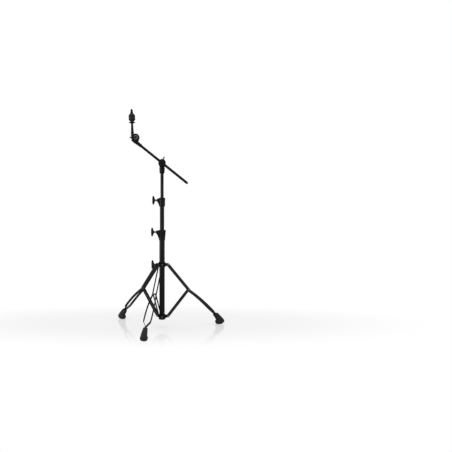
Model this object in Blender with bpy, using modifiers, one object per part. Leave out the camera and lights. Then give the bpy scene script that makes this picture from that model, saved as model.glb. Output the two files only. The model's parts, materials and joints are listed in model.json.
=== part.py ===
"""Boom cymbal stand: folding tripod, telescoping tubes, sliding boom and cymbal tilter.

Metres, +Z up. The floor is z = 0 and the origin is the middle of the stand's box on the floor.
Seen along +Y the boom points up to the left. Leg planes use x outward from the mast and y across.
"""
import math

import bmesh
import bpy
from mathutils import Euler, Matrix, Vector

# Fits
CLEARANCE = 0.0003           # between parts that touch or slide in each other
TURN_CLEARANCE = 0.0004      # round a pin or bolt that turns in its hole
ROUND_STEPS = 24             # facets of tubes and castings
SMALL_STEPS = 12             # facets of pins, bolts and rods
PLUG_STEPS = 16              # facets of plugs and caps
CASTING_EDGE = 0.0015        # chamfer round castings
SMALL_EDGE = 0.001           # chamfer at the ends of rods, bolts and nuts
WELD = 0.00001               # points closer than this are one point

# Telescoping tubes
BASE_TUBE_DIAMETER = 0.0318
TUBE_WALL = 0.0015
TELESCOPE_GAP = 0.0017       # from a tube's bore to the next tube
BASE_TUBE_LENGTH = 0.497
MID_TUBE_LENGTH = 0.465
MID_TUBE_SHOWN = 0.140       # between the base clamp and the middle clamp
UPPER_TUBE_LENGTH = 0.410
UPPER_TUBE_SHOWN = 0.145     # between the middle clamp and the boom tilter's neck
TUBE_GRIP = 0.031            # depth of a tube's end inside the clamp on it
PLUG_DEPTH = 0.018
PLUG_FLANGE = 0.002

# Tripod linkage
LOWER_PIVOT_HEIGHT = 0.0625
LINK_LENGTH = 0.200          # brace, and leg from its top rivet to the elbow
LEG_SPREAD = math.radians(40.1)
FIRST_LEG_AZIMUTH = math.radians(15)
LEG_COUNT = 3
STRIP_WIDTH = 0.0155
STRIP_THICKNESS = 0.003
BRACE_WIDTH = 0.0135
LOWER_LUG_WIDTH = 0.011
KINK_ANGLE = math.radians(55.0)    # leg just below the elbow, from vertical
STRAIGHT_PAST_ELBOW = 0.012
LEG_CURVE = 0.400                  # share of the lower leg that keeps to the kink's direction
BOW_HALF_GAP = 0.0198              # widest middle of a leg strip from the leg's plane
BOW_PLACE = 0.885                  # share of the lower leg where the strips are widest apart
BOW_FULLNESS = 1.5                 # how soon below the elbow the strips part, 0 when they stay straight
BOW_ROUNDING = 0.002               # softness of the bend at the widest place
LEG_STATIONS = 7                   # cross-sections from the elbow to the widest place
TOE_HALF_GAP = 0.0024              # strip middle from the leg's plane inside the boot
ANKLE_RISE = 0.005                 # bend of a strip above the boot's mouth

# Rivets
PIN_DIAMETER = 0.0052
PIN_HEAD_DIAMETER = 0.0105
PIN_HEAD_HEIGHT = 0.002
PIN_HEAD_CROWN = 0.65        # share of a head's width left flat on top
SPACER_DIAMETER = 0.0105

# Collars on the base tube
COLLAR_WALL = 0.0040
LUG_ROOM = 0.00725           # from the collar to the edge of a strip
LUG_NOSE_RADIUS = 0.0072
LUG_ROOT_HALF_HEIGHT = 0.0105
UPPER_COLLAR_HEIGHT = 0.030
LOWER_COLLAR_BELOW = 0.016   # lower collar from its pivots down to its foot
LOWER_COLLAR_ABOVE = 0.012
COLLAR_BOSS_REACH = 0.034
COLLAR_BOSS_RADIUS = 0.0085
COLLAR_WING_EDGE = 0.063     # outer edge of the wing from the mast axis

# Rubber boots
FOOT_RADIUS = 0.359
MOUTH_INSET = 0.028          # middle of a boot's mouth from the middle of its sole, towards the mast
MOUTH_HEIGHT = 0.064
BOOT_SLOT_DEPTH = 0.017
BOOT_STEPS = 16
BOOT_SQUARENESS = 0.8        # power of the rounded section, where 1 is an ellipse
BOOT_SECTIONS = (            # x and z at the mast's side, x and z at the outer side, half width
    (-0.0140, 0.0000, 0.0140, 0.0000, 0.0125),
    (-0.0195, 0.0045, 0.0240, 0.0045, 0.0168),
    (-0.0230, 0.0115, 0.0330, 0.0125, 0.0192),
    (-0.0225, 0.0185, 0.0340, 0.0200, 0.0192),
    (-0.0188, 0.0250, 0.0308, 0.0270, 0.0164),
    (-0.0240, 0.0355, 0.0220, 0.0375, 0.0152),
    (-0.0310, 0.0455, 0.0110, 0.0485, 0.0136),
    (-0.0365, 0.0525, 0.0010, 0.0585, 0.0118),
    (-0.0380, 0.0560, -0.0060, 0.0655, 0.0102),
    (-0.0355, 0.0585, -0.0110, 0.0680, 0.0084),
)

# Tube clamps
BASE_CLAMP_HEIGHT = 0.059
BASE_CLAMP_FOOT_WALL = 0.0018
BASE_CLAMP_TOP_WALL = 0.0068
BASE_BOSS_REACH = 0.035
BOSS_BELOW = 0.85            # boss below its bolt, share of the bolt's drop
BASE_BOLT_DROP = 0.011       # bolt axis below the clamp's top
BASE_WING_EDGE = 0.065
MID_CLAMP_HEIGHT = 0.050
MID_CLAMP_FOOT_WALL = 0.0042
MID_CLAMP_TOP_WALL = 0.0068
MID_BOSS_REACH = 0.030
MID_BOLT_DROP = 0.0135
MID_WING_EDGE = 0.058
BOSS_WIDTH = 0.020
COLLAR_FACE = 0.12           # share of a clamp's height that stays full width at its top
GUSSET_FOOT = 0.10           # share of a clamp's height below the gusset under its boss
BUSHING_FLANGE = 0.002
BUSHING_FLANGE_WALL = 0.0022

# Wing bolts
BOLT_DIAMETER = 0.008
WING_SPAN = 0.052
WING_DEPTH = 0.0180
WING_THICKNESS = 0.0075
WING_EDGE = 0.0015           # chamfer round the wing
HUB_DIAMETER = 0.012
WING_SIDE = ((0.55, 0.98), (0.90, 0.86), (1.0, 0.62), (0.90, 0.40), (0.52, 0.22))  # of half span and depth
WING_ROOT = 0.42             # wing's foot from the axis, share of the hub's diameter
HUB_RISE = (0.55, 0.45, 0.1)  # middle, edge and foot of the hub, shares of the wing's depth
STEM_WAIST = (0.65, 0.25, 0.1)  # waist's top and foot and the flange, shares of the stem
BOLT_FLANGE = 0.0022         # from the bolt to the edge of its seat

# Boom tilter
NECK_RISE = 0.0595           # from the foot of the neck to the tilter's axis
NECK_FOOT_WALL = 0.0045
NECK_BELLY_WALL = 0.0068
NECK_SHARES = (0.86, 0.97, 1.06)  # radii at the disc's middle and edge (of the belly) and above the foot
NECK_HEIGHTS = (0.55, 0.88)  # belly and foot's flare below the tilter's axis, shares of the neck
NECK_SOCKET = 0.032
TILTER_RADIUS = 0.022
MAST_DISC_FRONT = 0.004
MAST_DISC_BACK = 0.008
NECK_TO_BOOM = 0.0015        # from the neck's belly to the boom
BOOM_SEAT_WALL = 0.005       # metal in front of the boom
BOOM_CLAMP_EDGE = 0.0025
BOOM_WING_SPAN = 0.092
BOOM_WING_TURN = math.radians(74)
BOOM_WING_STEM = 0.0095

# Boom
BOOM_DIAMETER = 0.0150
BOOM_WALL = 0.0015
BOOM_ANGLE = math.radians(38.85)
BOOM_TAIL = 0.194            # from the tilter's axis down to the end of the cap
BOOM_REACH = 0.2120          # from the tilter's axis up to the foot of the cymbal tilter's arm
BOOM_CAP_LENGTH = 0.012
BOOM_CAP_STEM = 0.014

# Cymbal tilter
CYMBAL_ARM = 0.0175          # from the boom's axis to the cymbal tilter's axis
CYMBAL_DISC_RADIUS = 0.0225
BOOM_HALF_THICKNESS = 0.0165
ROD_HALF_THICKNESS = 0.0090
SLEEVE_BELOW = 0.055         # boom socket from the arm back down the boom
SLEEVE_ABOVE = 0.013
SLEEVE_FOOT_WALL = 0.0016
SLEEVE_TOP_WALL = 0.0045
SOCKET_PAST_ARM = 0.004      # boom's end beyond the arm inside the socket
SOCKET_NOSE_SHARES = (0.72, 0.95)  # radii at the closed end and where its rounding starts
SOCKET_NOSE = 0.005          # rounding of the socket's closed end
SOCKET_SHOULDER = 0.012      # where the socket's taper starts and ends
SOCKET_TRIM = 0.0025         # depth that the parting plane cuts off the socket
ROD_HALF_EDGE = 0.002
CYMBAL_WING_SPAN = 0.044
CYMBAL_WING_DEPTH = 0.013
CYMBAL_WING_STEM = 0.006
NUT_ACROSS_FLATS = 0.0135
NUT_HEIGHT = 0.0055

# Cymbal rod and what stands on it
ROD_DIAMETER = 0.008
ROD_SIDE = 0.0178            # rod's axis from the cymbal tilter's axis
ROD_LEAN = math.radians(1.8)
ROD_BOSS_RADIUS = 0.0087
ROD_BOSS_BELOW = 0.011
ROD_BOSS_ABOVE = 0.032
ROD_BOSS_EDGE = 0.003
ROD_WEB_BELOW = 0.007        # web between the rod's boss and the disc
ROD_WEB_ABOVE = 0.015
ROD_NECK_SHOULDER = 0.86     # boss's radius above its taper, share of the boss
ROD_NECK_TAPER = 0.012       # length of the boss's taper
ROD_NECK_LAND = 0.006        # straight top of the neck
ROD_NECK_TOP = 0.0878
ROD_NECK_RADIUS = 0.0064
SET_SCREW_DIAMETER = 0.0052
SET_SCREW_HEAD = 0.0088
SET_SCREW_SHARES = (1.1, 1.35)  # head's top and side, shares of the screw's radius
SET_SCREW_STEPS = 8
WASHER_RADIUS = 0.019
WASHER_THICKNESS = 0.0015
WASHER_DROP = 0.003
WASHER_LAND = 0.001          # flat of the washer past the neck it rests on
SLEEVE_WALL = 0.0014
SLEEVE_FLANGE_RADIUS = 0.0085
SLEEVE_FLANGE = 0.0016
FELT_HEIGHT = 0.0233
FELT_RADIUS = 0.0196
FELT_WAIST_RADIUS = 0.0184
FELT_END_RADIUS = 0.0098
FELT_TAPER = 0.0115
FELT_LOWER_EDGE = 0.97       # radius below the widest edge, share of the felt's
FELT_SHOULDER = 0.0015       # height of the rounded widest edge
WING_NUT_HEIGHT = 0.0235
WING_NUT_SPAN = 0.040
WING_NUT_BASE_RADIUS = 0.0092
WING_NUT_TOP_RADIUS = 0.0067
NUT_WING_SIDE = ((0.72, 0.99), (0.98, 0.88), (0.92, 0.55))  # outline of a wing, of half span and height
NUT_WING_ROOT = (0.8, 0.12)  # wing's foot, shares of the barrel's radius and the height
NUT_DIP = (0.6, 0.72)        # hollow between the wings, shares of the same
NUT_WAIST = 0.35             # where the barrel starts above the skirt, share of the height
WING_NUT_SKIRT = 0.003       # straight foot of the nut
NUT_BARREL_DROP = 0.002      # barrel's top below the tips of the wings
ROD_BELOW_NUT_TOP = 0.003
ROD_FOOT_RISE = 0.003        # rod's foot above the boss's foot

# Sizes that follow from the ones above
BASE_RADIUS = BASE_TUBE_DIAMETER / 2
MID_RADIUS = BASE_RADIUS - TUBE_WALL - TELESCOPE_GAP
UPPER_RADIUS = MID_RADIUS - TUBE_WALL - TELESCOPE_GAP
BOLT_RADIUS = BOLT_DIAMETER / 2
BOLT_HOLE = BOLT_RADIUS + TURN_CLEARANCE
PIN_HOLE = PIN_DIAMETER / 2 + TURN_CLEARANCE
BOOM_RADIUS = BOOM_DIAMETER / 2
ROD_RADIUS = ROD_DIAMETER / 2

COLLAR_RADIUS = BASE_RADIUS + CLEARANCE + COLLAR_WALL
PIVOT_RADIUS = COLLAR_RADIUS + LUG_ROOM + STRIP_WIDTH / 2
ELBOW_RADIUS = PIVOT_RADIUS + LINK_LENGTH * math.sin(LEG_SPREAD)
ELBOW_HEIGHT = LOWER_PIVOT_HEIGHT + LINK_LENGTH * math.cos(LEG_SPREAD)
ELBOW = Vector((ELBOW_RADIUS, 0, ELBOW_HEIGHT))
BOOT_MOUTH = Vector((FOOT_RADIUS - MOUTH_INSET, 0, MOUTH_HEIGHT))
UPPER_PIVOT_HEIGHT = LOWER_PIVOT_HEIGHT + 2 * LINK_LENGTH * math.cos(LEG_SPREAD)
BRACE_HALF_GAP = LOWER_LUG_WIDTH / 2 + CLEARANCE + STRIP_THICKNESS / 2
LEG_HALF_GAP = BRACE_HALF_GAP + STRIP_THICKNESS + CLEARANCE
UPPER_LUG_WIDTH = 2 * (LEG_HALF_GAP - STRIP_THICKNESS / 2 - CLEARANCE)

BASE_TUBE_FOOT = LOWER_PIVOT_HEIGHT - LOWER_COLLAR_BELOW
BASE_TUBE_TOP = BASE_TUBE_FOOT + BASE_TUBE_LENGTH
BASE_CLAMP_FOOT = BASE_TUBE_TOP - TUBE_GRIP
MID_CLAMP_FOOT = BASE_CLAMP_FOOT + BASE_CLAMP_HEIGHT + MID_TUBE_SHOWN
MID_TUBE_TOP = MID_CLAMP_FOOT + TUBE_GRIP
NECK_FOOT = MID_CLAMP_FOOT + MID_CLAMP_HEIGHT + UPPER_TUBE_SHOWN
BOOM_PIVOT = Vector((0, 0, NECK_FOOT + NECK_RISE))

NECK_BELLY_RADIUS = UPPER_RADIUS + NECK_BELLY_WALL
BOOM_OFFSET = NECK_BELLY_RADIUS + BOOM_RADIUS + NECK_TO_BOOM   # boom's axis in front of the mast's
BOOM_BORE = BOOM_RADIUS + CLEARANCE
BOOM_OUT = Vector((-math.cos(BOOM_ANGLE), 0, math.sin(BOOM_ANGLE)))
BOOM_ACROSS = Vector((math.sin(BOOM_ANGLE), 0, math.cos(BOOM_ANGLE)))
CYMBAL_PIVOT = BOOM_PIVOT + BOOM_OUT * BOOM_REACH + BOOM_ACROSS * CYMBAL_ARM
SLEEVE_TOP_RADIUS = BOOM_BORE + SLEEVE_TOP_WALL
PARTING = BOOM_OFFSET + SLEEVE_TOP_RADIUS - SOCKET_TRIM   # between the tilter halves, in front of the mast
ROD_OFFSET = PARTING + ROD_BOSS_RADIUS
WASHER_SEAT = ROD_NECK_TOP + CLEARANCE
WASHER_TOP = WASHER_SEAT + WASHER_THICKNESS
FELT_FOOT = WASHER_TOP + 2 * CLEARANCE + SLEEVE_FLANGE
NUT_FOOT = FELT_FOOT + 2 * FELT_HEIGHT + 2 * CLEARANCE
NUT_TOP = NUT_FOOT + WING_NUT_HEIGHT
ROD_SLEEVE_RADIUS = ROD_RADIUS + CLEARANCE + SLEEVE_WALL

LEG_AZIMUTHS = [FIRST_LEG_AZIMUTH + turn * math.tau / LEG_COUNT for turn in range(LEG_COUNT)]
FACE_FRONT = (math.pi / 2, 0, 0)      # turns local Z towards the viewer, -Y
FACE_BACK = (-math.pi / 2, 0, 0)      # turns local Z away from the viewer, +Y
FACE_LEFT = (0, -math.pi / 2, 0)      # turns local Z to -X
ALONG_BOOM = (0, -math.pi / 2 + BOOM_ANGLE, 0)   # turns local Z up along the boom


def clear_scene():
    for old in list(bpy.data.objects):
        bpy.data.objects.remove(old, do_unlink=True)


def new_collection(name):
    made = bpy.data.collections.new(name)
    bpy.context.scene.collection.children.link(made)
    return made


clear_scene()
PARTS = new_collection("boom_cymbal_stand")
TOOLS = new_collection("cutters_and_guides")


def make_material(name, colour, roughness, metallic):
    material = bpy.data.materials.new(name)
    material.use_nodes = True
    shader = material.node_tree.nodes["Principled BSDF"]
    shader.inputs["Base Color"].default_value = (*colour, 1)
    shader.inputs["Roughness"].default_value = roughness
    shader.inputs["Metallic"].default_value = metallic
    return material


BLACK_TUBE = make_material("black_tube", (0.016, 0.016, 0.017), 0.30, 0.6)
BLACK_CASTING = make_material("black_casting", (0.020, 0.020, 0.021), 0.42, 0.5)
BLACK_STRIP = make_material("black_strip", (0.022, 0.022, 0.023), 0.38, 0.6)
BLACK_BOLT = make_material("black_bolt", (0.014, 0.014, 0.015), 0.35, 0.6)
RIVET_STEEL = make_material("rivet_steel", (0.25, 0.25, 0.25), 0.35, 1.0)
RUBBER = make_material("rubber", (0.022, 0.022, 0.023), 0.75, 0.0)
NYLON = make_material("nylon", (0.018, 0.018, 0.018), 0.50, 0.0)
FELT = make_material("felt", (0.030, 0.030, 0.031), 0.95, 0.0)


def place(obj, parent, location, rotation):
    obj.parent = parent
    obj.location = location
    obj.rotation_euler = rotation
    return obj


def add_empty(name, parent=None, location=(0, 0, 0), rotation=(0, 0, 0)):
    empty = bpy.data.objects.new(name, None)
    PARTS.objects.link(empty)
    return place(empty, parent, location, rotation)


def add_part(name, mesh, material, parent, location=(0, 0, 0), rotation=(0, 0, 0)):
    """A sub-part, or a guide for a Boolean where the material is None."""
    obj = bpy.data.objects.new(name, mesh)
    if material:
        PARTS.objects.link(obj)
        mesh.materials.append(material)
    else:
        TOOLS.objects.link(obj)
        obj.hide_render = True
        obj.display_type = "WIRE"
    return place(obj, parent, location, rotation)


def turned(name, profile, material, parent, location=(0, 0, 0), rotation=(0, 0, 0),
           steps=ROUND_STEPS, ring=False):
    """Turn a (radius, height) profile about local Z. It runs down the outer side, and a ring closes it."""
    mesh = bpy.data.meshes.new(name)
    edges = [(i, i + 1) for i in range(len(profile) - 1)]
    if ring:
        edges.append((len(profile) - 1, 0))
    mesh.from_pydata([(radius, 0, height) for radius, height in profile], edges, [])
    obj = add_part(name, mesh, material, parent, location, rotation)
    screw = obj.modifiers.new("turn", "SCREW")
    screw.steps = steps
    screw.render_steps = steps
    screw.use_merge_vertices = True
    screw.merge_threshold = WELD
    screw.use_smooth_shade = True
    return obj


def tube(name, outer, inner, foot, top, material, parent, **place_at):
    profile = [(outer, top), (outer, foot), (inner, foot), (inner, top)]
    return turned(name, profile, material, parent, ring=True, **place_at)


def rod_guide(name, radius, foot, top, parent, location=(0, 0, 0), rotation=(0, 0, 0),
              steps=SMALL_STEPS):
    profile = [(0, top), (radius, top), (radius, foot), (0, foot)]
    return turned(name, profile, None, parent, location, rotation, steps)


def box_guide(name, size, middle, parent, location=(0, 0, 0), rotation=(0, 0, 0)):
    mesh = bpy.data.meshes.new(name)
    bm = bmesh.new()
    bmesh.ops.create_cube(bm, size=1)
    bmesh.ops.scale(bm, vec=size, verts=bm.verts)
    bmesh.ops.translate(bm, vec=middle, verts=bm.verts)
    bm.to_mesh(mesh)
    bm.free()
    return add_part(name, mesh, None, parent, location, rotation)


def combine(obj, operation, *tools):
    for tool in tools:
        boolean = obj.modifiers.new(operation.lower(), "BOOLEAN")
        boolean.operation = operation
        boolean.object = tool
    return obj


def outline_mesh(name, outline, thickness, edge=0.0, rounded=False):
    """Fill a flat outline in x and z, of the given thickness along y."""
    curve = bpy.data.curves.new(name, "CURVE")
    curve.dimensions = "2D"
    curve.fill_mode = "BOTH"
    curve.extrude = thickness / 2 - edge
    curve.bevel_depth = edge
    curve.bevel_resolution = 0
    curve.offset = -edge
    curve.resolution_u = 2
    spline = curve.splines.new("BEZIER")
    spline.bezier_points.add(len(outline) - 1)
    for point, (x, z) in zip(spline.bezier_points, outline):
        point.co = (x, z, 0)
        point.handle_left_type = "AUTO" if rounded else "VECTOR"
        point.handle_right_type = point.handle_left_type
    if not rounded:
        curve.resolution_u = 1
    spline.use_cyclic_u = True
    guide = bpy.data.objects.new(name, curve)
    TOOLS.objects.link(guide)
    depsgraph = bpy.context.evaluated_depsgraph_get()
    mesh = bpy.data.meshes.new_from_object(guide.evaluated_get(depsgraph))
    bpy.data.objects.remove(guide, do_unlink=True)
    welded = bmesh.new()
    welded.from_mesh(mesh)
    bmesh.ops.remove_doubles(welded, verts=welded.verts, dist=WELD)
    bmesh.ops.rotate(welded, verts=welded.verts, matrix=Matrix.Rotation(math.pi / 2, 3, "X"))
    bmesh.ops.recalc_face_normals(welded, faces=welded.faces)
    welded.to_mesh(mesh)
    welded.free()
    return mesh


def arc(centre, radius, start, end, count):
    """Points on an arc in x and z, from one angle to another."""
    angles = [start + (end - start) * i / (count - 1) for i in range(count)]
    return [(centre[0] + radius * math.cos(a), centre[1] + radius * math.sin(a)) for a in angles]


def strip(name, stations, parent, holes):
    """Flat bar through (x, y, z, width) stations, given thickness about its middle and pierced."""
    bm = bmesh.new()
    rails = []
    for i, (x, y, z, width) in enumerate(stations):
        before = stations[max(i - 1, 0)]
        after = stations[min(i + 1, len(stations) - 1)]
        along = Vector((after[0] - before[0], after[2] - before[2])).normalized()
        side = Vector((-along.y, 0, along.x)) * width / 2
        middle = Vector((x, y, z))
        rails.append((bm.verts.new(middle + side), bm.verts.new(middle - side)))
    for (left, right), (next_left, next_right) in zip(rails, rails[1:]):
        bm.faces.new((left, right, next_right, next_left))
    mesh = bpy.data.meshes.new(name)
    bm.to_mesh(mesh)
    bm.free()
    obj = add_part(name, mesh, BLACK_STRIP, parent)
    solidify = obj.modifiers.new("thickness", "SOLIDIFY")
    solidify.thickness = STRIP_THICKNESS
    solidify.offset = 0
    solidify.use_even_offset = True
    return combine(obj, "DIFFERENCE", *holes)


def round_end(start, along, y, width):
    """Stations of a half-round strip end about a pivot, from its tip to the pivot."""
    stations = []
    for angle in (78, 52, 26, 0):
        back = start - along * math.sin(math.radians(angle)) * width / 2
        stations.append((back.x, y, back.z, width * math.cos(math.radians(angle))))
    return stations


def rivet(name, half_grip, parent, spacer_half=0):
    """Headed pin along y, with a fatter spacer in the middle where one is given."""
    head = half_grip + PIN_HEAD_HEIGHT
    shank = PIN_DIAMETER / 2
    dome = PIN_HEAD_DIAMETER / 2
    profile = [(0, head), (dome * PIN_HEAD_CROWN, head), (dome, half_grip), (shank, half_grip)]
    if spacer_half:
        profile += [(shank, spacer_half), (SPACER_DIAMETER / 2, spacer_half)]
    profile += [(radius, -height) for radius, height in reversed(profile)]
    return turned(name, profile, RIVET_STEEL, parent, rotation=FACE_FRONT, steps=SMALL_STEPS)


def wing_outline(span, depth, foot):
    """Outline of a T wing: nearly straight outside, hollowed towards the stem inside."""
    half = span / 2
    right = [(half * x, foot + depth * z) for x, z in WING_SIDE] + [(HUB_DIAMETER * WING_ROOT, foot)]
    return right + [(-x, z) for x, z in reversed(right)] + [(0, foot + depth)]


def wing_bolt(name, stem, shank, parent, location, rotation=(0, 0, 0), span=WING_SPAN, depth=WING_DEPTH):
    """T wing bolt along local Z: shank below its seat at z = 0, stem and wing above it."""
    hub = HUB_DIAMETER / 2
    flange = BOLT_RADIUS + BOLT_FLANGE
    tip = BOLT_RADIUS - SMALL_EDGE
    middle, edge, foot = [stem + depth * share for share in HUB_RISE]
    waist_top, waist_foot, flange_top = [stem * share for share in STEM_WAIST]
    profile = [(0, middle), (hub, edge), (hub, foot), (BOLT_RADIUS, waist_top), (BOLT_RADIUS, waist_foot)]
    profile += [(flange, flange_top), (flange, 0)]
    profile += [(BOLT_RADIUS, 0), (BOLT_RADIUS, SMALL_EDGE - shank), (tip, -shank), (0, -shank)]
    bolt = turned(name, profile, BLACK_BOLT, parent, location, rotation, SMALL_STEPS)
    outline = wing_outline(span, depth, stem)
    wing = outline_mesh(name + "_wing", outline, WING_THICKNESS, WING_EDGE, rounded=True)
    guide = add_part(name + "_wing_guide", wing, None, parent, location, rotation)
    return combine(bolt, "UNION", guide)


def lug_guide(name, width, parent, height):
    """Lug in a leg's plane, from inside the collar out round its rivet."""
    root = COLLAR_RADIUS - COLLAR_WALL / 2
    nose = arc((PIVOT_RADIUS, 0), LUG_NOSE_RADIUS, -math.pi / 2, math.pi / 2, 7)
    outline = [(root, -LUG_ROOT_HALF_HEIGHT)] + nose + [(root, LUG_ROOT_HALF_HEIGHT)]
    return add_part(name, outline_mesh(name, outline, width), None, parent, (0, 0, height))


def lugged_collar(name, foot, top, lug_width, pivot_height, leg_planes, holes, extra=()):
    """Collar on the base tube with a lug and a cross hole for every leg."""
    edge = CASTING_EDGE
    profile = [(0, top), (COLLAR_RADIUS - edge, top), (COLLAR_RADIUS, top - edge)]
    profile += [(COLLAR_RADIUS, foot + edge), (COLLAR_RADIUS - edge, foot), (0, foot)]
    collar = turned(name, profile, BLACK_CASTING, ROOT)
    for number, plane in enumerate(leg_planes, 1):
        lug = lug_guide(f"{name}_lug_{number}", lug_width, plane, pivot_height)
        combine(collar, "UNION", lug)
    combine(collar, "UNION", *extra)
    past = COLLAR_RADIUS
    bore = rod_guide(name + "_bore", BASE_RADIUS + CLEARANCE, foot - past, top + past, ROOT,
                     steps=ROUND_STEPS)
    return combine(collar, "DIFFERENCE", bore, *holes)


def bolt_stem(wing_edge, seat, depth=WING_DEPTH):
    """Length of stem that puts the wing's outer edge at its distance from the axis."""
    return wing_edge - depth - seat - CLEARANCE


def tube_clamp(prefix, tube_radius, next_radius, foot, height, walls, boss_reach, bolt_drop, wing_edge):
    """Funnel-shaped casting over a tube's end, with bushing, boss and wing bolt on its left."""
    top = foot + height
    foot_radius = tube_radius + walls[0]
    top_radius = tube_radius + walls[1]
    edge = CASTING_EDGE
    lip_radius = foot_radius - SMALL_EDGE
    profile = [(0, top), (top_radius - edge, top), (top_radius, top - edge)]
    profile += [(top_radius, top - height * COLLAR_FACE), (foot_radius, foot + edge), (lip_radius, foot)]
    body = turned(prefix + "_clamp", profile + [(0, foot)], BLACK_CASTING, ROOT)

    bolt_height = top - bolt_drop
    below = bolt_drop * BOSS_BELOW
    outline = [(0, top - edge), (edge - boss_reach, top - edge), (-boss_reach, top - 2 * edge)]
    outline += [(-boss_reach, bolt_height - below), (edge - boss_reach, bolt_height - below - edge)]
    outline += [(-foot_radius, foot + height * GUSSET_FOOT), (0, foot + height * GUSSET_FOOT)]
    boss_mesh = outline_mesh(prefix + "_boss", outline, BOSS_WIDTH)
    boss = add_part(prefix + "_boss", boss_mesh, None, ROOT)
    bore = rod_guide(prefix + "_bore", tube_radius + CLEARANCE, foot - height, top + height, ROOT,
                     steps=ROUND_STEPS)
    bolt_at = (0, 0, bolt_height)
    bolt_hole = rod_guide(prefix + "_bolt_hole", BOLT_HOLE, tube_radius / 2, 2 * boss_reach, ROOT,
                          bolt_at, FACE_LEFT)
    combine(body, "UNION", boss)
    combine(body, "DIFFERENCE", bore, bolt_hole)

    flange = tube_radius + BUSHING_FLANGE_WALL
    inner = next_radius + CLEARANCE
    lip = top + CLEARANCE
    profile = [(flange, lip + BUSHING_FLANGE), (flange, lip), (tube_radius, lip)]
    profile += [(tube_radius, foot + TUBE_GRIP + CLEARANCE), (inner, foot + TUBE_GRIP + CLEARANCE)]
    turned(prefix + "_bushing", profile + [(inner, lip + BUSHING_FLANGE)], NYLON, ROOT, ring=True)

    seat = boss_reach + CLEARANCE
    shank = seat - tube_radius - 2 * CLEARANCE
    wing_bolt(prefix + "_wing_bolt", bolt_stem(wing_edge, boss_reach), shank, ROOT,
              (-seat, 0, bolt_height), FACE_LEFT)


def footprint_middle():
    """Middle of the box round the three boots, seen from the mast axis."""
    low = Vector((math.inf, math.inf, 0))
    high = -low
    inner, _, outer, _, half_width = max(BOOT_SECTIONS, key=lambda section: section[2])
    middle = FOOT_RADIUS + (inner + outer) / 2
    half_length = (outer - inner) / 2
    for azimuth in LEG_AZIMUTHS:
        along = Vector((math.cos(azimuth), math.sin(azimuth)))
        for i in range(2):
            reach = math.hypot(half_length * along[i], half_width * along[1 - i])
            low[i] = min(low[i], middle * along[i] - reach)
            high[i] = max(high[i], middle * along[i] + reach)
    return Vector(((low.x + high.x) / 2, (low.y + high.y) / 2, 0))


ROOT = add_empty("mast_axis", location=-footprint_middle())


def leg_bends():
    """Bend below the elbow, the lower leg's control point and its direction into the boot, from the elbow."""
    bend = Vector((math.sin(LEG_SPREAD), 0, -math.cos(LEG_SPREAD))) * STRAIGHT_PAST_ELBOW
    mouth = BOOT_MOUTH - ELBOW
    kinked = Vector((math.sin(KINK_ANGLE), 0, -math.cos(KINK_ANGLE)))
    control = bend + kinked * (mouth - bend).length * LEG_CURVE
    return bend, control, (mouth - control).normalized()


def leg_stations(side):
    """Stations of one leg strip from its rounded top to its end in the boot, seen from the elbow."""
    down = Vector((math.sin(LEG_SPREAD), 0, -math.cos(LEG_SPREAD)))
    flat = side * LEG_HALF_GAP
    stations = round_end(-down * LINK_LENGTH, down, flat, STRIP_WIDTH)
    bend, control, inward = leg_bends()
    stations += [(0, flat, 0, STRIP_WIDTH), (bend.x, flat, bend.z, STRIP_WIDTH)]
    mouth = BOOT_MOUTH - ELBOW
    ankle = mouth - inward * ANKLE_RISE
    shares = [BOW_PLACE * number / LEG_STATIONS for number in range(1, LEG_STATIONS + 1)]
    for share in shares + [(BOW_PLACE + 1) / 2, 1]:
        spot = bend * (1 - share) ** 2 + control * 2 * share * (1 - share) + ankle * share ** 2
        reached = share / BOW_PLACE
        bowed = reached * (1 + BOW_FULLNESS * (1 - reached))
        parting = LEG_HALF_GAP + (BOW_HALF_GAP - LEG_HALF_GAP) * bowed
        closing = TOE_HALF_GAP + (BOW_HALF_GAP - TOE_HALF_GAP) * (1 - share) / (1 - BOW_PLACE)
        gap = (parting + closing - math.hypot(parting - closing, BOW_ROUNDING)) / 2
        stations.append((spot.x, side * gap, spot.z, STRIP_WIDTH))
    toe = mouth + inward * (BOOT_SLOT_DEPTH - CLEARANCE)
    stations.append((toe.x, side * TOE_HALF_GAP, toe.z, STRIP_WIDTH))
    return stations


def brace_stations(side):
    """Stations of one brace strip between its two rounded ends, seen from the lower pivot."""
    up = Vector((math.sin(LEG_SPREAD), 0, math.cos(LEG_SPREAD)))
    flat = side * BRACE_HALF_GAP
    lower = round_end(Vector((0, 0, 0)), up, flat, BRACE_WIDTH)
    upper = round_end(up * LINK_LENGTH, -up, flat, BRACE_WIDTH)
    return lower + upper[::-1]


def boot_ring(bm, inner_x, inner_z, outer_x, outer_z, half_width):
    """Rounded section of a boot between its side towards the mast and its outer side."""
    middle = Vector((inner_x + outer_x, 0, inner_z + outer_z)) / 2
    half = Vector((outer_x - inner_x, 0, outer_z - inner_z)) / 2
    ring = []
    for i in range(BOOT_STEPS):
        angle = math.tau * i / BOOT_STEPS
        cosine, sine = math.cos(angle), math.sin(angle)
        along = math.copysign(abs(cosine) ** BOOT_SQUARENESS, cosine)
        across = math.copysign(abs(sine) ** BOOT_SQUARENESS, sine) * half_width
        ring.append(bm.verts.new(middle + half * along + Vector((0, across, 0))))
    return ring


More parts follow.
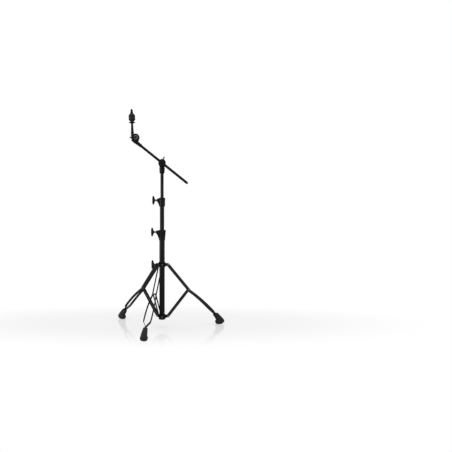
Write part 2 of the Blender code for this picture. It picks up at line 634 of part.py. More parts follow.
def boot(name, elbow):
    """Bell-shaped rubber boot lofted from its flat sole up to the mouth, with a slot for both strip ends."""
    bm = bmesh.new()
    rings = [boot_ring(bm, *section) for section in BOOT_SECTIONS]
    for ring, upper in zip(rings, rings[1:]):
        for i in range(BOOT_STEPS):
            after = (i + 1) % BOOT_STEPS
            bm.faces.new((ring[i], ring[after], upper[after], upper[i]))
    bm.faces.new(list(reversed(rings[0])))
    bm.faces.new(rings[-1])
    mesh = bpy.data.meshes.new(name)
    bm.to_mesh(mesh)
    bm.free()
    obj = add_part(name, mesh, RUBBER, elbow, Vector((FOOT_RADIUS, 0, 0)) - ELBOW)
    slot_width = 2 * TOE_HALF_GAP + STRIP_THICKNESS + 2 * CLEARANCE
    size = (STRIP_WIDTH + 2 * CLEARANCE, slot_width, 2 * BOOT_SLOT_DEPTH)
    inward = leg_bends()[2]
    entry = math.atan2(inward.x, -inward.z)
    slot = box_guide(name + "_slot", size, (0, 0, 0), elbow, BOOT_MOUTH - ELBOW, (0, -entry, 0))
    return combine(obj, "DIFFERENCE", slot)


def leg_set(number, plane):
    """One leg with its brace, rivets and boot. Returns the cross holes at its two collars."""
    elbow = add_empty(f"elbow_{number}", plane, ELBOW)
    lower = add_empty(f"lower_pivot_{number}", plane, (PIVOT_RADIUS, 0, LOWER_PIVOT_HEIGHT))
    upper = add_empty(f"upper_pivot_{number}", plane, (PIVOT_RADIUS, 0, UPPER_PIVOT_HEIGHT))
    past = BOW_HALF_GAP + STRIP_WIDTH
    holes = [rod_guide(f"{pivot.name}_hole", PIN_HOLE, -past, past, pivot, rotation=FACE_FRONT)
             for pivot in (upper, elbow, lower)]
    for side, word in ((1, "a"), (-1, "b")):
        strip(f"leg_{number}_strip_{word}", leg_stations(side), elbow, holes[:2])
        strip(f"brace_{number}_strip_{word}", brace_stations(side), lower, holes[1:])
    leg_grip = LEG_HALF_GAP + STRIP_THICKNESS / 2 + CLEARANCE
    brace_grip = BRACE_HALF_GAP + STRIP_THICKNESS / 2 + CLEARANCE
    spacer_half = BRACE_HALF_GAP - STRIP_THICKNESS / 2 - CLEARANCE
    rivet(f"upper_rivet_{number}", leg_grip, upper)
    rivet(f"elbow_rivet_{number}", leg_grip, elbow, spacer_half)
    rivet(f"lower_rivet_{number}", brace_grip, lower)
    boot(f"boot_{number}", elbow)
    return holes[0], holes[2]


def tripod():
    """Base tube with its plug, both collars, and three legs."""
    bore = BASE_RADIUS - TUBE_WALL
    tube("base_tube", BASE_RADIUS, bore, BASE_TUBE_FOOT, BASE_TUBE_TOP, BLACK_TUBE, ROOT)
    plug = bore - CLEARANCE
    under = BASE_TUBE_FOOT - CLEARANCE
    profile = [(0, under + PLUG_DEPTH), (plug, under + PLUG_DEPTH), (plug, under), (BASE_RADIUS, under)]
    profile += [(BASE_RADIUS - SMALL_EDGE, under - PLUG_FLANGE), (0, under - PLUG_FLANGE)]
    turned("tube_plug", profile, RUBBER, ROOT, steps=PLUG_STEPS)

    planes = [add_empty(f"leg_plane_{number}", ROOT, rotation=(0, 0, azimuth))
              for number, azimuth in enumerate(LEG_AZIMUTHS, 1)]
    pairs = [leg_set(number, plane) for number, plane in enumerate(planes, 1)]
    upper_holes, lower_holes = zip(*pairs)
    lower_top = LOWER_PIVOT_HEIGHT + LOWER_COLLAR_ABOVE
    lugged_collar("lower_collar", BASE_TUBE_FOOT, lower_top, LOWER_LUG_WIDTH, LOWER_PIVOT_HEIGHT, planes,
                  lower_holes)

    foot = UPPER_PIVOT_HEIGHT - UPPER_COLLAR_HEIGHT / 2
    bolt = add_empty("collar_bolt_axis", ROOT, (0, 0, UPPER_PIVOT_HEIGHT), FACE_LEFT)
    boss_root = BASE_RADIUS + CLEARANCE
    boss = rod_guide("collar_boss", COLLAR_BOSS_RADIUS, boss_root, COLLAR_BOSS_REACH, bolt, steps=ROUND_STEPS)
    bolt_hole = rod_guide("collar_bolt_hole", BOLT_HOLE, BASE_RADIUS / 2, 2 * COLLAR_BOSS_REACH, bolt)
    lugged_collar("upper_collar", foot, foot + UPPER_COLLAR_HEIGHT, UPPER_LUG_WIDTH, UPPER_PIVOT_HEIGHT,
                  planes, (*upper_holes, bolt_hole), (boss,))
    seat = COLLAR_BOSS_REACH + CLEARANCE
    shank = seat - BASE_RADIUS - 2 * CLEARANCE
    wing_bolt("collar_wing_bolt", bolt_stem(COLLAR_WING_EDGE, COLLAR_BOSS_REACH), shank, bolt, (0, 0, seat))


def mast():
    """Clamps and telescoping tubes above the base tube."""
    tube_clamp("base", BASE_RADIUS, MID_RADIUS, BASE_CLAMP_FOOT, BASE_CLAMP_HEIGHT,
               (BASE_CLAMP_FOOT_WALL, BASE_CLAMP_TOP_WALL), BASE_BOSS_REACH, BASE_BOLT_DROP, BASE_WING_EDGE)
    mid_foot = MID_TUBE_TOP - MID_TUBE_LENGTH
    tube("mid_tube", MID_RADIUS, MID_RADIUS - TUBE_WALL, mid_foot, MID_TUBE_TOP, BLACK_TUBE, ROOT)
    tube_clamp("mid", MID_RADIUS, UPPER_RADIUS, MID_CLAMP_FOOT, MID_CLAMP_HEIGHT,
               (MID_CLAMP_FOOT_WALL, MID_CLAMP_TOP_WALL), MID_BOSS_REACH, MID_BOLT_DROP, MID_WING_EDGE)
    upper_top = NECK_FOOT + NECK_SOCKET
    upper_foot = upper_top - UPPER_TUBE_LENGTH
    tube("upper_tube", UPPER_RADIUS, UPPER_RADIUS - TUBE_WALL, upper_foot, upper_top, BLACK_TUBE, ROOT)


def disc_profile(radius, back, front, edge):
    """Profile of a disc with both rims chamfered."""
    profile = [(0, front), (radius - edge, front), (radius, front - edge)]
    return profile + [(radius, back + edge), (radius - edge, back), (0, back)]


def neck_profile():
    """Tulip neck below the tilter's axis, from inside the disc down to the upper tube."""
    foot = -NECK_RISE
    belly = NECK_BELLY_RADIUS
    foot_radius = UPPER_RADIUS + NECK_FOOT_WALL
    inside = -TILTER_RADIUS / 2
    middle, edge, flare = NECK_SHARES
    belly_at, flare_at = [foot * share for share in NECK_HEIGHTS]
    profile = [(0, inside), (belly * middle, inside), (belly * edge, -TILTER_RADIUS), (belly, belly_at)]
    profile += [(foot_radius * flare, flare_at), (foot_radius, foot + 2 * SMALL_EDGE)]
    return profile + [(foot_radius - SMALL_EDGE, foot), (0, foot)]


def boom_tilter():
    """Casting with a tulip neck on the upper tube, the disc that holds the boom, and its wing bolt."""
    axis = add_empty("boom_tilt_axis", ROOT, BOOM_PIVOT)
    neck = turned("boom_bracket", neck_profile(), BLACK_CASTING, axis)
    profile = disc_profile(TILTER_RADIUS, -MAST_DISC_BACK, MAST_DISC_FRONT, CASTING_EDGE)
    disc = turned("boom_bracket_disc", profile, None, axis, rotation=FACE_FRONT)
    wide = 2 * NECK_BELLY_RADIUS
    front_size = (2 * wide, wide, 2 * (TILTER_RADIUS + CLEARANCE))
    front_cut = box_guide("boom_bracket_face", front_size, (0, -wide / 2 - MAST_DISC_FRONT, 0), axis)
    socket = rod_guide("boom_bracket_socket", UPPER_RADIUS + CLEARANCE, -2 * NECK_RISE,
                       NECK_SOCKET + CLEARANCE - NECK_RISE, axis, steps=ROUND_STEPS)
    bolt_hole = rod_guide("boom_bolt_hole", BOLT_HOLE, BOOM_RADIUS - BOOM_OFFSET, 2 * TILTER_RADIUS, axis,
                          rotation=FACE_BACK)
    combine(neck, "UNION", disc)
    combine(neck, "DIFFERENCE", front_cut, socket, bolt_hole)

    seat_back = MAST_DISC_FRONT + CLEARANCE
    seat_front = BOOM_OFFSET + BOOM_BORE + BOOM_SEAT_WALL
    clamp = turned("boom_clamp", disc_profile(TILTER_RADIUS, seat_back, seat_front, BOOM_CLAMP_EDGE),
                   BLACK_CASTING, axis, rotation=FACE_FRONT)
    bore = rod_guide("boom_clamp_bore", BOOM_BORE, -2 * TILTER_RADIUS, 2 * TILTER_RADIUS, axis,
                     (0, -BOOM_OFFSET, 0), ALONG_BOOM, ROUND_STEPS)
    combine(clamp, "DIFFERENCE", bore, bolt_hole)

    seat = MAST_DISC_BACK + CLEARANCE
    shank = seat + BOOM_OFFSET - BOOM_RADIUS - 2 * CLEARANCE
    turn = Matrix.Rotation(-BOOM_WING_TURN, 3, "Y") @ Euler(FACE_BACK).to_matrix()
    wing_bolt("boom_wing_bolt", BOOM_WING_STEM, shank, axis, (0, seat, 0), turn.to_euler(), BOOM_WING_SPAN)


def boom():
    """Boom tube with its rounded cap, sliding through the boom clamp."""
    line = add_empty("boom_line", ROOT, BOOM_PIVOT + Vector((0, -BOOM_OFFSET, 0)), ALONG_BOOM)
    tail = BOOM_CAP_LENGTH - BOOM_TAIL
    bore = BOOM_RADIUS - BOOM_WALL
    tube("boom_tube", BOOM_RADIUS, bore, tail, BOOM_REACH + SOCKET_PAST_ARM, BLACK_TUBE, line)
    rim = tail - CLEARANCE
    stem = bore - CLEARANCE
    dome = arc((0, rim), BOOM_RADIUS, 0, -math.radians(70), 4)
    stretch = (BOOM_TAIL + rim) / BOOM_RADIUS
    profile = [(0, rim + BOOM_CAP_STEM), (stem, rim + BOOM_CAP_STEM), (stem, rim)]
    profile += [(radius, rim + (height - rim) * stretch) for radius, height in dome]
    turned("boom_cap", profile + [(0, -BOOM_TAIL)], RUBBER, line, steps=PLUG_STEPS)
    return line


def boom_half(line, axis, bolt_hole):
    """Tilter half at the boom's end: a tapered socket on the boom and a disc at its side."""
    foot = BOOM_REACH - SLEEVE_BELOW
    top = BOOM_REACH + SLEEVE_ABOVE
    wide = SLEEVE_TOP_RADIUS
    foot_radius = BOOM_BORE + SLEEVE_FOOT_WALL
    nose, shoulder = [wide * share for share in SOCKET_NOSE_SHARES]
    profile = [(0, top), (nose, top), (shoulder, top - SOCKET_NOSE)]
    profile += [(wide, BOOM_REACH - SOCKET_SHOULDER), (foot_radius, foot + SOCKET_SHOULDER)]
    profile += [(foot_radius, foot + SMALL_EDGE), (foot_radius - SMALL_EDGE, foot), (0, foot)]
    socket = turned("cymbal_socket", profile, None, line)
    back = PARTING - BOOM_HALF_THICKNESS
    disc = disc_profile(CYMBAL_DISC_RADIUS, back, PARTING - CLEARANCE / 2, CASTING_EDGE)
    half = turned("tilter_boom_half", disc, BLACK_CASTING, axis, rotation=FACE_FRONT)
    wide = 8 * CYMBAL_DISC_RADIUS
    trim = box_guide("parting_trim", (wide, wide, wide), (0, CLEARANCE / 4 - PARTING - wide / 2, 0), axis)
    boom_end = BOOM_REACH + SOCKET_PAST_ARM + CLEARANCE
    bore = rod_guide("cymbal_socket_bore", BOOM_BORE, -BOOM_TAIL, boom_end, line, steps=ROUND_STEPS)
    combine(half, "UNION", socket)
    combine(half, "DIFFERENCE", trim, bore, bolt_hole)
    return back


def rod_half(lean, bolt_hole):
    """Tilter half with the rod: a disc, a tapered boss beside it and the web between them."""
    back = PARTING + CLEARANCE / 2
    front = back + ROD_HALF_THICKNESS
    disc = disc_profile(CYMBAL_DISC_RADIUS, back, front, ROD_HALF_EDGE)
    half = turned("tilter_rod_half", disc, BLACK_CASTING, lean, rotation=FACE_FRONT)
    rod_at = (-ROD_SIDE, -ROD_OFFSET, 0)
    wide, neck = ROD_BOSS_RADIUS, ROD_NECK_RADIUS
    profile = [(0, ROD_NECK_TOP), (neck, ROD_NECK_TOP), (neck, ROD_NECK_TOP - ROD_NECK_LAND)]
    profile += [(wide * ROD_NECK_SHOULDER, ROD_BOSS_ABOVE + ROD_NECK_TAPER), (wide, ROD_BOSS_ABOVE)]
    profile += [(wide, ROD_BOSS_EDGE - ROD_BOSS_BELOW), (wide - ROD_BOSS_EDGE, -ROD_BOSS_BELOW)]
    boss = turned("rod_boss", profile + [(0, -ROD_BOSS_BELOW)], None, lean, rod_at)
    web_size = (ROD_SIDE, ROD_HALF_THICKNESS - ROD_HALF_EDGE, ROD_WEB_BELOW + ROD_WEB_ABOVE)
    web_middle = (-ROD_SIDE / 2, -back - web_size[1] / 2, (ROD_WEB_ABOVE - ROD_WEB_BELOW) / 2)
    web = box_guide("rod_web", web_size, web_middle, lean)
    rod_bore = rod_guide("rod_bore", ROD_RADIUS + CLEARANCE, -4 * ROD_BOSS_BELOW, 2 * ROD_NECK_TOP, lean,
                         rod_at)
    screw_bore = SET_SCREW_DIAMETER / 2 + TURN_CLEARANCE
    screw_hole = rod_guide("set_screw_hole", screw_bore, 0, 4 * ROD_BOSS_RADIUS, lean, rod_at, FACE_LEFT)
    combine(half, "UNION", boss, web)
    combine(half, "DIFFERENCE", rod_bore, screw_hole, bolt_hole)

    screw = SET_SCREW_DIAMETER / 2
    head = ROD_BOSS_RADIUS + CLEARANCE
    tip = ROD_RADIUS + CLEARANCE
    top = head + SET_SCREW_HEAD
    crown, side = [screw * share for share in SET_SCREW_SHARES]
    profile = [(0, top), (crown, top), (side, head + CASTING_EDGE), (side, head)]
    profile += [(screw, head), (screw, tip), (0, tip)]
    turned("set_screw", profile, BLACK_BOLT, lean, rod_at, FACE_LEFT, SET_SCREW_STEPS)
    return front, add_empty("cymbal_rod_line", lean, rod_at)


def cymbal_tilter(line):
    """Both halves of the tilter at the boom's end, drawn together by a wing bolt and a nut."""
    axis = add_empty("cymbal_tilt_axis", ROOT, CYMBAL_PIVOT)
    bolt_hole = rod_guide("cymbal_bolt_hole", BOLT_HOLE, -4 * PARTING, 4 * PARTING, axis, rotation=FACE_BACK)
    back = boom_half(line, axis, bolt_hole)
    lean = add_empty("rod_lean", axis, rotation=(0, -ROD_LEAN, 0))
    front, rod_line = rod_half(lean, bolt_hole)

    foot = front + CLEARANCE
    top = foot + NUT_HEIGHT
    corner = NUT_ACROSS_FLATS / math.sqrt(3)
    profile = [(0, top), (corner - SMALL_EDGE, top), (corner, top - SMALL_EDGE), (corner, foot), (0, foot)]
    nut = turned("tilter_nut", profile, BLACK_BOLT, axis, rotation=FACE_FRONT, steps=6)
    combine(nut, "DIFFERENCE", bolt_hole)
    seat = CLEARANCE - back
    shank = top + seat - SMALL_EDGE
    turn = Matrix.Rotation(math.pi + BOOM_ANGLE, 3, "Y") @ Euler(FACE_BACK).to_matrix()
    wing_bolt("cymbal_wing_bolt", CYMBAL_WING_STEM, shank, axis, (0, seat, 0), turn.to_euler(),
              CYMBAL_WING_SPAN, CYMBAL_WING_DEPTH)
    return rod_line


def felt(name, foot, upside_down, line):
    """Felt washer that tapers away from the cymbal's side."""
    bore = ROD_SLEEVE_RADIUS + CLEARANCE
    outer = [(FELT_WAIST_RADIUS, FELT_HEIGHT), (FELT_RADIUS, FELT_TAPER + FELT_SHOULDER)]
    outer += [(FELT_RADIUS * FELT_LOWER_EDGE, FELT_TAPER - FELT_SHOULDER / 2), (FELT_END_RADIUS, 0)]
    profile = outer + [(bore, 0), (bore, FELT_HEIGHT)]
    if upside_down:
        profile = [(radius, FELT_HEIGHT - height) for radius, height in reversed(profile)]
    turned(name, [(radius, foot + height) for radius, height in profile], FELT, line, ring=True)


def wing_nut(line):
    """Barrel with two raised wings, bored for the rod."""
    foot = NUT_FOOT
    barrel_top = NUT_TOP - NUT_BARREL_DROP
    base, barrel = WING_NUT_BASE_RADIUS, WING_NUT_TOP_RADIUS
    profile = [(0, barrel_top), (barrel, barrel_top), (barrel, foot + WING_NUT_HEIGHT * NUT_WAIST)]
    profile += [(base, foot + WING_NUT_SKIRT), (base, foot), (0, foot)]
    nut = turned("wing_nut", profile, BLACK_BOLT, line)
    half, rise = WING_NUT_SPAN / 2, WING_NUT_HEIGHT
    right = [(half * x, rise * z) for x, z in NUT_WING_SIDE]
    right += [(barrel * NUT_WING_ROOT[0], rise * NUT_WING_ROOT[1])]
    dip = [(-barrel * NUT_DIP[0], rise * NUT_DIP[1]), (barrel * NUT_DIP[0], rise * NUT_DIP[1])]
    outline = right + [(-x, z) for x, z in reversed(right)] + dip
    outline = [(x, foot + z) for x, z in outline]
    mesh = outline_mesh("wing_nut_wings", outline, barrel, SMALL_EDGE, rounded=True)
    wings = add_part("wing_nut_wings", mesh, None, line, rotation=(0, 0, math.pi / 2))
    bore = rod_guide("wing_nut_bore", ROD_RADIUS + TURN_CLEARANCE, foot - rise, NUT_TOP + rise, line)
    combine(nut, "UNION", wings)
    combine(nut, "DIFFERENCE", bore)


def cymbal_seat(line):
    """Rod, cup washer, sleeve, two felts and wing nut, all on the cymbal rod."""
    rod_foot = ROD_FOOT_RISE - ROD_BOSS_BELOW
    rod_top = NUT_TOP - ROD_BELOW_NUT_TOP
    profile = [(0, rod_top), (ROD_RADIUS - SMALL_EDGE, rod_top), (ROD_RADIUS, rod_top - SMALL_EDGE)]
    profile += [(ROD_RADIUS, rod_foot), (0, rod_foot)]
    turned("cymbal_rod", profile, BLACK_BOLT, line, steps=SMALL_STEPS)

    bore = ROD_RADIUS + CLEARANCE
    land = ROD_NECK_RADIUS + WASHER_LAND
    profile = [(land, WASHER_TOP), (WASHER_RADIUS, WASHER_TOP - WASHER_DROP)]
    profile += [(WASHER_RADIUS, WASHER_SEAT - WASHER_DROP), (land, WASHER_SEAT), (bore, WASHER_SEAT)]
    turned("cup_washer", profile + [(bore, WASHER_TOP)], BLACK_CASTING, line, ring=True)

    flange_foot = WASHER_TOP + CLEARANCE
    flange_top = flange_foot + SLEEVE_FLANGE
    sleeve_top = NUT_FOOT - CLEARANCE
    outer, flange = ROD_SLEEVE_RADIUS, SLEEVE_FLANGE_RADIUS
    profile = [(outer, sleeve_top), (outer, flange_top), (flange, flange_top)]
    profile += [(flange, flange_foot), (bore, flange_foot), (bore, sleeve_top)]
    turned("rod_sleeve", profile, NYLON, line, steps=SMALL_STEPS, ring=True)
    felt("lower_felt", FELT_FOOT, False, line)
    felt("upper_felt", FELT_FOOT + FELT_HEIGHT + CLEARANCE, True, line)
    wing_nut(line)


tripod()
mast()
boom_tilter()
cymbal_seat(cymbal_tilter(boom()))
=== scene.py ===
"""Looks of the boom cymbal stand: finer pieces, finishes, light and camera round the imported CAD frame.

Metres, +Z up, in the frame's own coordinates. Places and sizes are read off the frame where it has them.
Leg planes use x outward from the mast and y across. Sizes that only one function needs are named in it.
"""

import json
import math

import bmesh
import bpy
from mathutils import Matrix, Vector, noise


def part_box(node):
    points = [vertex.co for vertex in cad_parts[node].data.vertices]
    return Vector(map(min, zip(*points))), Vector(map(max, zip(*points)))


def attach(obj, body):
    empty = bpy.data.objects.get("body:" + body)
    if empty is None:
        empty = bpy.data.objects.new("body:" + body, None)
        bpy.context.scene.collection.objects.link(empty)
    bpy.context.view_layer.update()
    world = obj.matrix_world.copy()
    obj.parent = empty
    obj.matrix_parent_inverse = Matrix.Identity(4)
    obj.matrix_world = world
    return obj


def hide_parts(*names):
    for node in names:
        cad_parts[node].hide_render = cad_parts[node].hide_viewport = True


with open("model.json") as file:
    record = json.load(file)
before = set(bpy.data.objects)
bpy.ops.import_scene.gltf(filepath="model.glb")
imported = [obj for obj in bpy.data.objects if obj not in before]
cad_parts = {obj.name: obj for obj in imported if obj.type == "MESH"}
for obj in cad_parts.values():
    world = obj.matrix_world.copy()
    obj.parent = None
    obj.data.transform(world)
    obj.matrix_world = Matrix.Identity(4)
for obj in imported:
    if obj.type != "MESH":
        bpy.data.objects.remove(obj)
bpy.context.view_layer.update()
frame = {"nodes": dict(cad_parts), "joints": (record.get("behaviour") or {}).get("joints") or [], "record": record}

# Fineness
ROUND_STEPS = 64  # facets of tubes and castings
SMALL_STEPS = 40  # facets of pins and bolts
CAST_VOXEL = 0.0007  # cell of a fused casting
CAST_PASSES = 7  # softening of a casting's edges
WING_VOXEL = 0.0005
WING_PASSES = 9
SHARP_ANGLE = math.radians(38)
PAST = 0.05  # how far a cutter runs past what it cuts
WELD = 0.000002  # points closer than this are one
TINY = 0.000001

# Fits and roundings
GAP = 0.0003  # between fitted pieces
PLAY = 0.0004  # round pins and bolts
TUBE_WALL = 0.0015
EDGE = 0.0012
SMALL_EDGE = 0.0005
FINE_EDGE = 0.0003
PLUG_CHAMFER = 0.001
CASTING_ROUNDING = 0.003

# Legs, braces and rivets
STRIP_WIDTH = 0.0155
STRIP_THICKNESS = 0.003
LEG_HALF_GAP = 0.0106
BRACE_HALF_GAP = 0.0073
TOE_HALF_GAP = 0.0024
PIN_RADIUS = 0.0026
BOOT_SLOT_DEPTH = 0.017
BOOT_SECTIONS = (  # x and z at the mast's side, x and z at the outer side, half width
    (-0.014, 0.0, 0.014, 0.0, 0.0125),
    (-0.0195, 0.0045, 0.024, 0.0045, 0.0168),
    (-0.023, 0.0115, 0.033, 0.0125, 0.0192),
    (-0.0225, 0.0185, 0.034, 0.02, 0.0192),
    (-0.0188, 0.025, 0.0308, 0.027, 0.0164),
    (-0.024, 0.0355, 0.022, 0.0375, 0.0152),
    (-0.031, 0.0455, 0.011, 0.0485, 0.0136),
    (-0.0365, 0.0525, 0.001, 0.0585, 0.0118),
    (-0.038, 0.056, -0.006, 0.0655, 0.0102),
    (-0.0355, 0.0585, -0.011, 0.068, 0.0084),
)

# Wing bolts and the wing nut. Shapes are shares of radius or half span, and of height
BOLT_RADIUS = 0.004
BOLT_FLANGE = 0.0022
WING_SPAN = 0.052
WING_DEPTH = 0.018
HUB_SHAPE = ((0.0, 0.6), (0.8, 0.55), (1.0, 0.4), (1.0, 0.05))
WING_SHAPE = ((0.55, 0.98), (0.9, 0.86), (1.0, 0.62), (0.9, 0.4), (0.52, 0.22))
WING_NUT_SHAPE = ((0.72, 0.99), (0.98, 0.88), (0.92, 0.55))

# Tilters and what stands on the cymbal rod
CYMBAL_DISC_RADIUS = 0.0225
ROD_HALF_THICKNESS = 0.009
ROD_RADIUS = 0.004
ROD_NECK_RADIUS = 0.0064
NUT_ACROSS_FLATS = 0.0135
FELT_SHAPE = ((0.939, 1.0), (0.985, 0.74), (1.0, 0.555), (0.97, 0.46), (0.78, 0.235), (0.5, 0.0))

# Turns, and places read off the frame
BODIES = frame["record"]["behaviour"]["bodies"]
BODY_OF = {node: body for body, members in BODIES.items() for node in members}
JOINTS = {joint["name"]: joint for joint in frame["joints"]}
FACE_LEFT = Matrix.Rotation(-math.pi / 2, 4, "Y")
FACE_FRONT = Matrix.Rotation(math.pi / 2, 4, "X")
FACE_BACK = Matrix.Rotation(-math.pi / 2, 4, "X")


def joint_spot(name):
    return Vector(JOINTS[name]["pos_m"])


def joint_axis(name):
    return Vector(JOINTS[name]["axis"])


def at(point, *turns):
    """Frame at a point, turned by the matrices given."""
    matrix = Matrix.Translation(point)
    for turn in turns:
        matrix = matrix @ turn
    return matrix


def local_points(node, matrix):
    """Corners of a CAD node in a frame."""
    inverse = matrix.inverted()
    return [inverse @ vertex.co for vertex in frame["nodes"][node].data.vertices]


def span(node, matrix):
    """Lowest and highest local Z of a CAD node in a frame."""
    heights = [point.z for point in local_points(node, matrix)]
    return min(heights), max(heights)


def reach(node, matrix):
    """Largest distance of a CAD node from a frame's Z axis."""
    return max(point.xy.length for point in local_points(node, matrix))


MAST = at((joint_spot("mast_swivel").x, joint_spot("mast_swivel").y, 0))
MAST_AT = MAST.translation
BOOM_OUT = joint_axis("boom_slide")
BOOM_ANGLE = math.atan2(BOOM_OUT.z, -BOOM_OUT.x)
ALONG_BOOM = Matrix.Rotation(BOOM_ANGLE - math.pi / 2, 4, "Y")
BOOM_AXIS = at(joint_spot("boom_tilt"))
BOOM_Y = sum(corner.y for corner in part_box("boom_tube")) / 2
BOOM_LINE = at((BOOM_AXIS.translation.x, BOOM_Y, BOOM_AXIS.translation.z), ALONG_BOOM)
CYMBAL_AXIS = at(joint_spot("cymbal_tilt"))
ROD_UP = joint_axis("top_nut_turn")
LEAN = Matrix.Rotation(-math.atan2(-ROD_UP.x, ROD_UP.z), 4, "Y")
ROD_LINE = at(joint_spot("top_nut_turn"), LEAN)
LEG_FRAMES = {}
for number in (1, 2, 3):
    fold = joint_axis(f"leg_{number}_fold")
    LEG_FRAMES[number] = MAST @ Matrix.Rotation(math.atan2(fold.x, -fold.y), 4, "Z")
PIVOT_RADIUS = (joint_spot("collar_lift") - joint_spot("collar_wing_turn")).length
LOWER_PIVOT = Vector((PIVOT_RADIUS, 0, joint_spot("tripod_fold").z))
UPPER_PIVOT = Vector((PIVOT_RADIUS, 0, joint_spot("collar_lift").z))
COLLAR_BOLT = MAST @ at((0, 0, UPPER_PIVOT.z), FACE_LEFT)
ELBOW = LEG_FRAMES[1].inverted() @ joint_spot("leg_1_fold")
SOLE = LEG_FRAMES[1].inverted() @ Vector(frame["record"]["mounts"][0]["pos_m"])
BASE_RADIUS = reach("base_tube", MAST)
MID_RADIUS = reach("mid_tube", MAST)
UPPER_RADIUS = reach("upper_tube", MAST)
BOOM_RADIUS = reach("boom_tube", BOOM_LINE)


# Materials

BLACK_STEEL = {"specular": 0.5, "metallic": 1.0, "tint": 0.2}
BARE_STEEL = {"specular": 0.5, "metallic": 1.0, "tint": 0.6}
SOFT = {"metallic": 0.0, "tint": 1.0}
FINISH_VALUES = {
    "black_tube": dict(
        BLACK_STEEL, dark=(0.0085, 0.0088, 0.0096), light=(0.0118, 0.0123, 0.0134), rough=(0.22, 0.26),
        grain=2600, height=0.00002, stretch=(1, 1, 0.6), coat=(0.05, 0.08)),
    "black_casting": dict(
        BLACK_STEEL, dark=(0.0076, 0.0079, 0.0086), light=(0.0122, 0.0127, 0.0138), rough=(0.28, 0.40),
        grain=1500, height=0.00016, wear=0.12, coat=(0.04, 0.16)),
    "black_strip": dict(
        BLACK_STEEL, dark=(0.0160, 0.0166, 0.0180), light=(0.0225, 0.0233, 0.0252), rough=(0.24, 0.34),
        grain=1900, height=0.0001, coat=(0.05, 0.12)),
    "black_bolt": dict(
        BLACK_STEEL, dark=(0.0095, 0.0099, 0.0107), light=(0.0144, 0.0149, 0.0161), rough=(0.22, 0.32),
        grain=1700, height=0.0001, wear=0.15, coat=(0.05, 0.10)),
    "rivet_steel": dict(
        BARE_STEEL, dark=(0.10, 0.10, 0.10), light=(0.17, 0.17, 0.17), rough=(0.28, 0.40),
        grain=2400, height=0.0001),
    "rubber": dict(
        SOFT, dark=(0.0108, 0.0112, 0.0120), light=(0.0184, 0.0190, 0.0204), rough=(0.60, 0.78),
        specular=0.14, grain=1400, height=0.0003, speckle=0.4),
    "nylon": dict(
        SOFT, dark=(0.0098, 0.0102, 0.0110), light=(0.0147, 0.0152, 0.0164), rough=(0.42, 0.52),
        specular=0.2, grain=2200, height=0.00006),
    "felt": dict(
        SOFT, dark=(0.0085, 0.0088, 0.0095), light=(0.0240, 0.0249, 0.0268), rough=(0.92, 1.0),
        specular=0.08, grain=1300, height=0.0009, patches=420.0, stretch=(1, 1, 1.8), speckle=0.5,
        sheen=0.06),
}


def put(node, values):
    """Set a shader node's inputs by name."""
    for name, value in values.items():
        node.inputs[name].default_value = value


def new_material(name):
    material = bpy.data.materials.new(name)
    material.use_nodes = True
    return material, material.node_tree.nodes, material.node_tree.links


def ranged(nodes, links, value, source, target):
    """Node that maps a value from one range to another."""
    made = nodes.new("ShaderNodeMapRange")
    put(made, {"From Min": source[0], "From Max": source[1], "To Min": target[0], "To Max": target[1]})
    links.new(value, made.inputs["Value"])
    return made


def finish(slot, dark, light, rough, specular, metallic, tint, grain, height, patches=60.0,
           stretch=(1, 1, 1), wear=0.0, speckle=0.0, sheen=0.0, coat=(0.0, 0.0)):
    """Finish with soft colour patches, uneven gloss and a fine raised grain."""
    patch_detail, gloss_detail, grain_detail, gloss_fineness, gloss_noise = 4.0, 5.0, 3.0, 5, (0.3, 0.7)
    worn_points, worn_colour, speckle_share = (0.535, 0.62), (0.16, 0.16, 0.165), 0.5
    material, nodes, links = new_material(slot + "_finish")
    shader = nodes["Principled BSDF"]
    put(shader, {"Metallic": metallic, "Specular IOR Level": specular, "Specular Tint": (tint, tint, tint, 1),
                 "Sheen Weight": sheen, "Coat Weight": coat[0], "Coat Roughness": coat[1]})
    mapping = nodes.new("ShaderNodeMapping")
    put(mapping, {"Scale": stretch})
    links.new(nodes.new("ShaderNodeTexCoord").outputs["Object"], mapping.inputs["Vector"])

    def cloud(scale, detail):
        made = nodes.new("ShaderNodeTexNoise")
        put(made, {"Scale": scale, "Detail": detail})
        links.new(mapping.outputs["Vector"], made.inputs["Vector"])
        return made.outputs["Fac"]

    def blend(factor, second):
        mix = nodes.new("ShaderNodeMix")
        mix.data_type = "RGBA"
        links.new(factor, mix.inputs["Factor"])
        put(mix, {"B": (*second, 1)})
        return mix

    colour = blend(cloud(patches, patch_detail), light)
    put(colour, {"A": (*dark, 1)})
    if wear:
        pointed = nodes.new("ShaderNodeNewGeometry").outputs["Pointiness"]
        edges = ranged(nodes, links, pointed, worn_points, (0, wear))
        worn = blend(edges.outputs["Result"], worn_colour)
        links.new(colour.outputs["Result"], worn.inputs["A"])
        colour = worn
    links.new(colour.outputs["Result"], shader.inputs["Base Color"])

    gloss = ranged(nodes, links, cloud(patches * gloss_fineness, gloss_detail), gloss_noise, rough)
    links.new(gloss.outputs["Result"], shader.inputs["Roughness"])

    bump = nodes.new("ShaderNodeBump")
    put(bump, {"Strength": 0.5, "Distance": height})
    links.new(cloud(grain, grain_detail), bump.inputs["Height"])
    if speckle:
        dots = nodes.new("ShaderNodeTexVoronoi")
        put(dots, {"Scale": grain * speckle_share})
        links.new(mapping.outputs["Vector"], dots.inputs["Vector"])
        pits = nodes.new("ShaderNodeBump")
        put(pits, {"Strength": speckle, "Distance": height})
        links.new(dots.outputs["Distance"], pits.inputs["Height"])
        links.new(pits.outputs["Normal"], bump.inputs["Normal"])
    links.new(bump.outputs["Normal"], shader.inputs["Normal"])
    return material


FINISHES = {slot: finish(slot, **values) for slot, values in FINISH_VALUES.items()}


# Mesh helpers


